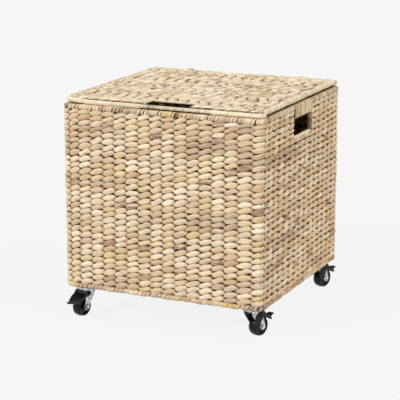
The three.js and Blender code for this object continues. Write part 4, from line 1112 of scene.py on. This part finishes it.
def hinge_loop(name):
    """A loop of three strands side by side round the lid's rear rod and the rim: rings of a flat round
    section, carried round an upright oval with squared corners, which stays 1.6 mm below the
    solid's top."""
    low, high = corners_of(name)
    high = high - [0, 0, 1.6]
    middle, half = (low + high) / 2, (high - low) / 2
    strands, steps, around = 3, 48, 8
    angle, ring = round_turn(steps), round_turn(around)
    strand = half[0] / strands
    thick, thickest = 1.2 + 1.1 * np.sin(ring), 2.3
    rings = np.zeros((strands, steps, around, 3))
    rings[..., 0] = (middle[0] + 2 * strand * np.arange(-1, 2))[:, None, None] + strand * np.cos(ring)
    rings[..., 1] = middle[1] + signed_power(np.cos(angle), 0.7)[:, None] * (half[1] - thickest + thick)
    rings[..., 2] = middle[2] + signed_power(np.sin(angle), 0.7)[:, None] * (half[2] - thickest + thick)
    grain = np.zeros_like(rings)
    grain[..., 0] = (angle * (half[1] + half[2]) / 2)[:, None]
    grain[..., 1:] = np.stack([strand * np.cos(ring), thick], -1)
    stem = np.zeros((*rings.shape[:-1], 4))
    stem[..., :3] = pale_stems((1, strands))[0][:, None, None]
    # painted shade: the strands are darker on their side against the rods and towards their edges
    stem[..., 3] = 0.4 + 0.6 * np.clip(np.sin(ring), 0, 1)
    piece(name + "_bound", [(rings, grain, stem, True)], HYACINTH_LID, "basket", "cane_loop", name)


hinge_loop("hinge_loop_left")
hinge_loop("hinge_loop_right")


# Studio
def build_studio():
    """A pale floor that glows as brightly as the surround behind it, an even white surround that
    darkens overhead and beneath, and soft lights from the front left and from the right."""
    mesh = bpy.data.meshes.new("studio_floor")
    reach = 30.0
    mesh.from_pydata(
        [(-reach, -reach, 0), (reach, -reach, 0), (reach, reach, 0), (-reach, reach, 0)], [], [(0, 1, 2, 3)]
    )
    material, tree, shader = new_material("studio_floor_paint")
    shader.inputs["Base Color"].default_value = (0.05, 0.05, 0.05, 1)
    shader.inputs["Roughness"].default_value = 0.9
    shader.inputs["Specular IOR Level"].default_value = 0.0
    shader.inputs["Emission Color"].default_value = (1, 1, 1, 1)
    shader.inputs["Emission Strength"].default_value = 0.87
    mesh.materials.append(material)
    floor = bpy.data.objects.new("studio_floor", mesh)
    bpy.context.scene.collection.objects.link(floor)
    floor.visible_diffuse = False

    overhead, horizon, beneath = (0.43, 0.42, 0.4, 1), (0.92, 0.92, 0.92, 1), (0.42, 0.41, 0.39, 1)
    world = bpy.data.worlds.new("studio_surround")
    world.use_nodes = True
    tree = world.node_tree
    tree.nodes.clear()
    place = add_node(tree, "ShaderNodeTexCoord")
    height = add_node(tree, "ShaderNodeSeparateXYZ", {0: place.outputs["Generated"]})
    rise = add_node(
        tree, "ShaderNodeMapRange", {"Value": height.outputs[2], "From Min": 0.05, "From Max": 0.6}, **EASED
    )
    upper = add_node(tree, "ShaderNodeMix", {0: rise.outputs[0], 6: horizon, 7: overhead}, **OF_COLOURS)
    fall = add_node(
        tree, "ShaderNodeMapRange", {"Value": height.outputs[2], "From Min": -0.35, "From Max": 0.0}, **EASED
    )
    colour = add_node(
        tree, "ShaderNodeMix", {0: fall.outputs[0], 6: beneath, 7: upper.outputs[2]}, **OF_COLOURS
    )
    background = add_node(tree, "ShaderNodeBackground", {"Color": colour.outputs[2], "Strength": 1.0})
    add_node(tree, "ShaderNodeOutputWorld", {"Surface": background.outputs[0]})
    bpy.context.scene.world = world

    for name, towards, spread, strength, tint in (
        ("key_light", (0.45, 0.75, -0.55), 20, 2.1, (1.0, 1.0, 1.0)),
        ("side_light", (-0.8, 0.1, -0.75), 25, 1.4, (1.0, 0.93, 0.84)),
    ):
        lamp = bpy.data.lights.new(name, "SUN")
        lamp.angle = math.radians(spread)
        lamp.energy = strength
        lamp.color = tint
        light = bpy.data.objects.new(name, lamp)
        light.rotation_euler = Vector(towards).to_track_quat("-Z", "Y").to_euler()
        bpy.context.scene.collection.objects.link(light)


def build_camera():
    """Camera at the photograph's place: 24.52 degrees round to the right and 13.88 degrees up."""
    azimuth, elevation = math.radians(24.52), math.radians(13.88)
    photo_width, lens_in_pixels = 400, 1579.8
    distance = 3.0394
    level = math.cos(elevation)
    back = Vector((math.sin(azimuth) * level, -math.cos(azimuth) * level, math.sin(elevation)))
    target = Vector((-10.8, 0, 200.2)) * MM
    data = bpy.data.cameras.new("camera")
    data.sensor_width = 36
    data.lens = data.sensor_width * lens_in_pixels / photo_width
    data.clip_end = 100
    camera = bpy.data.objects.new("camera", data)
    camera.location = target + back * distance
    camera.rotation_mode = "QUATERNION"
    camera.rotation_quaternion = (-back).to_track_quat("-Z", "Y")
    bpy.context.scene.collection.objects.link(camera)
    bpy.context.scene.camera = camera


build_studio()
build_camera()
bpy.context.scene.view_settings.view_transform = "Standard"
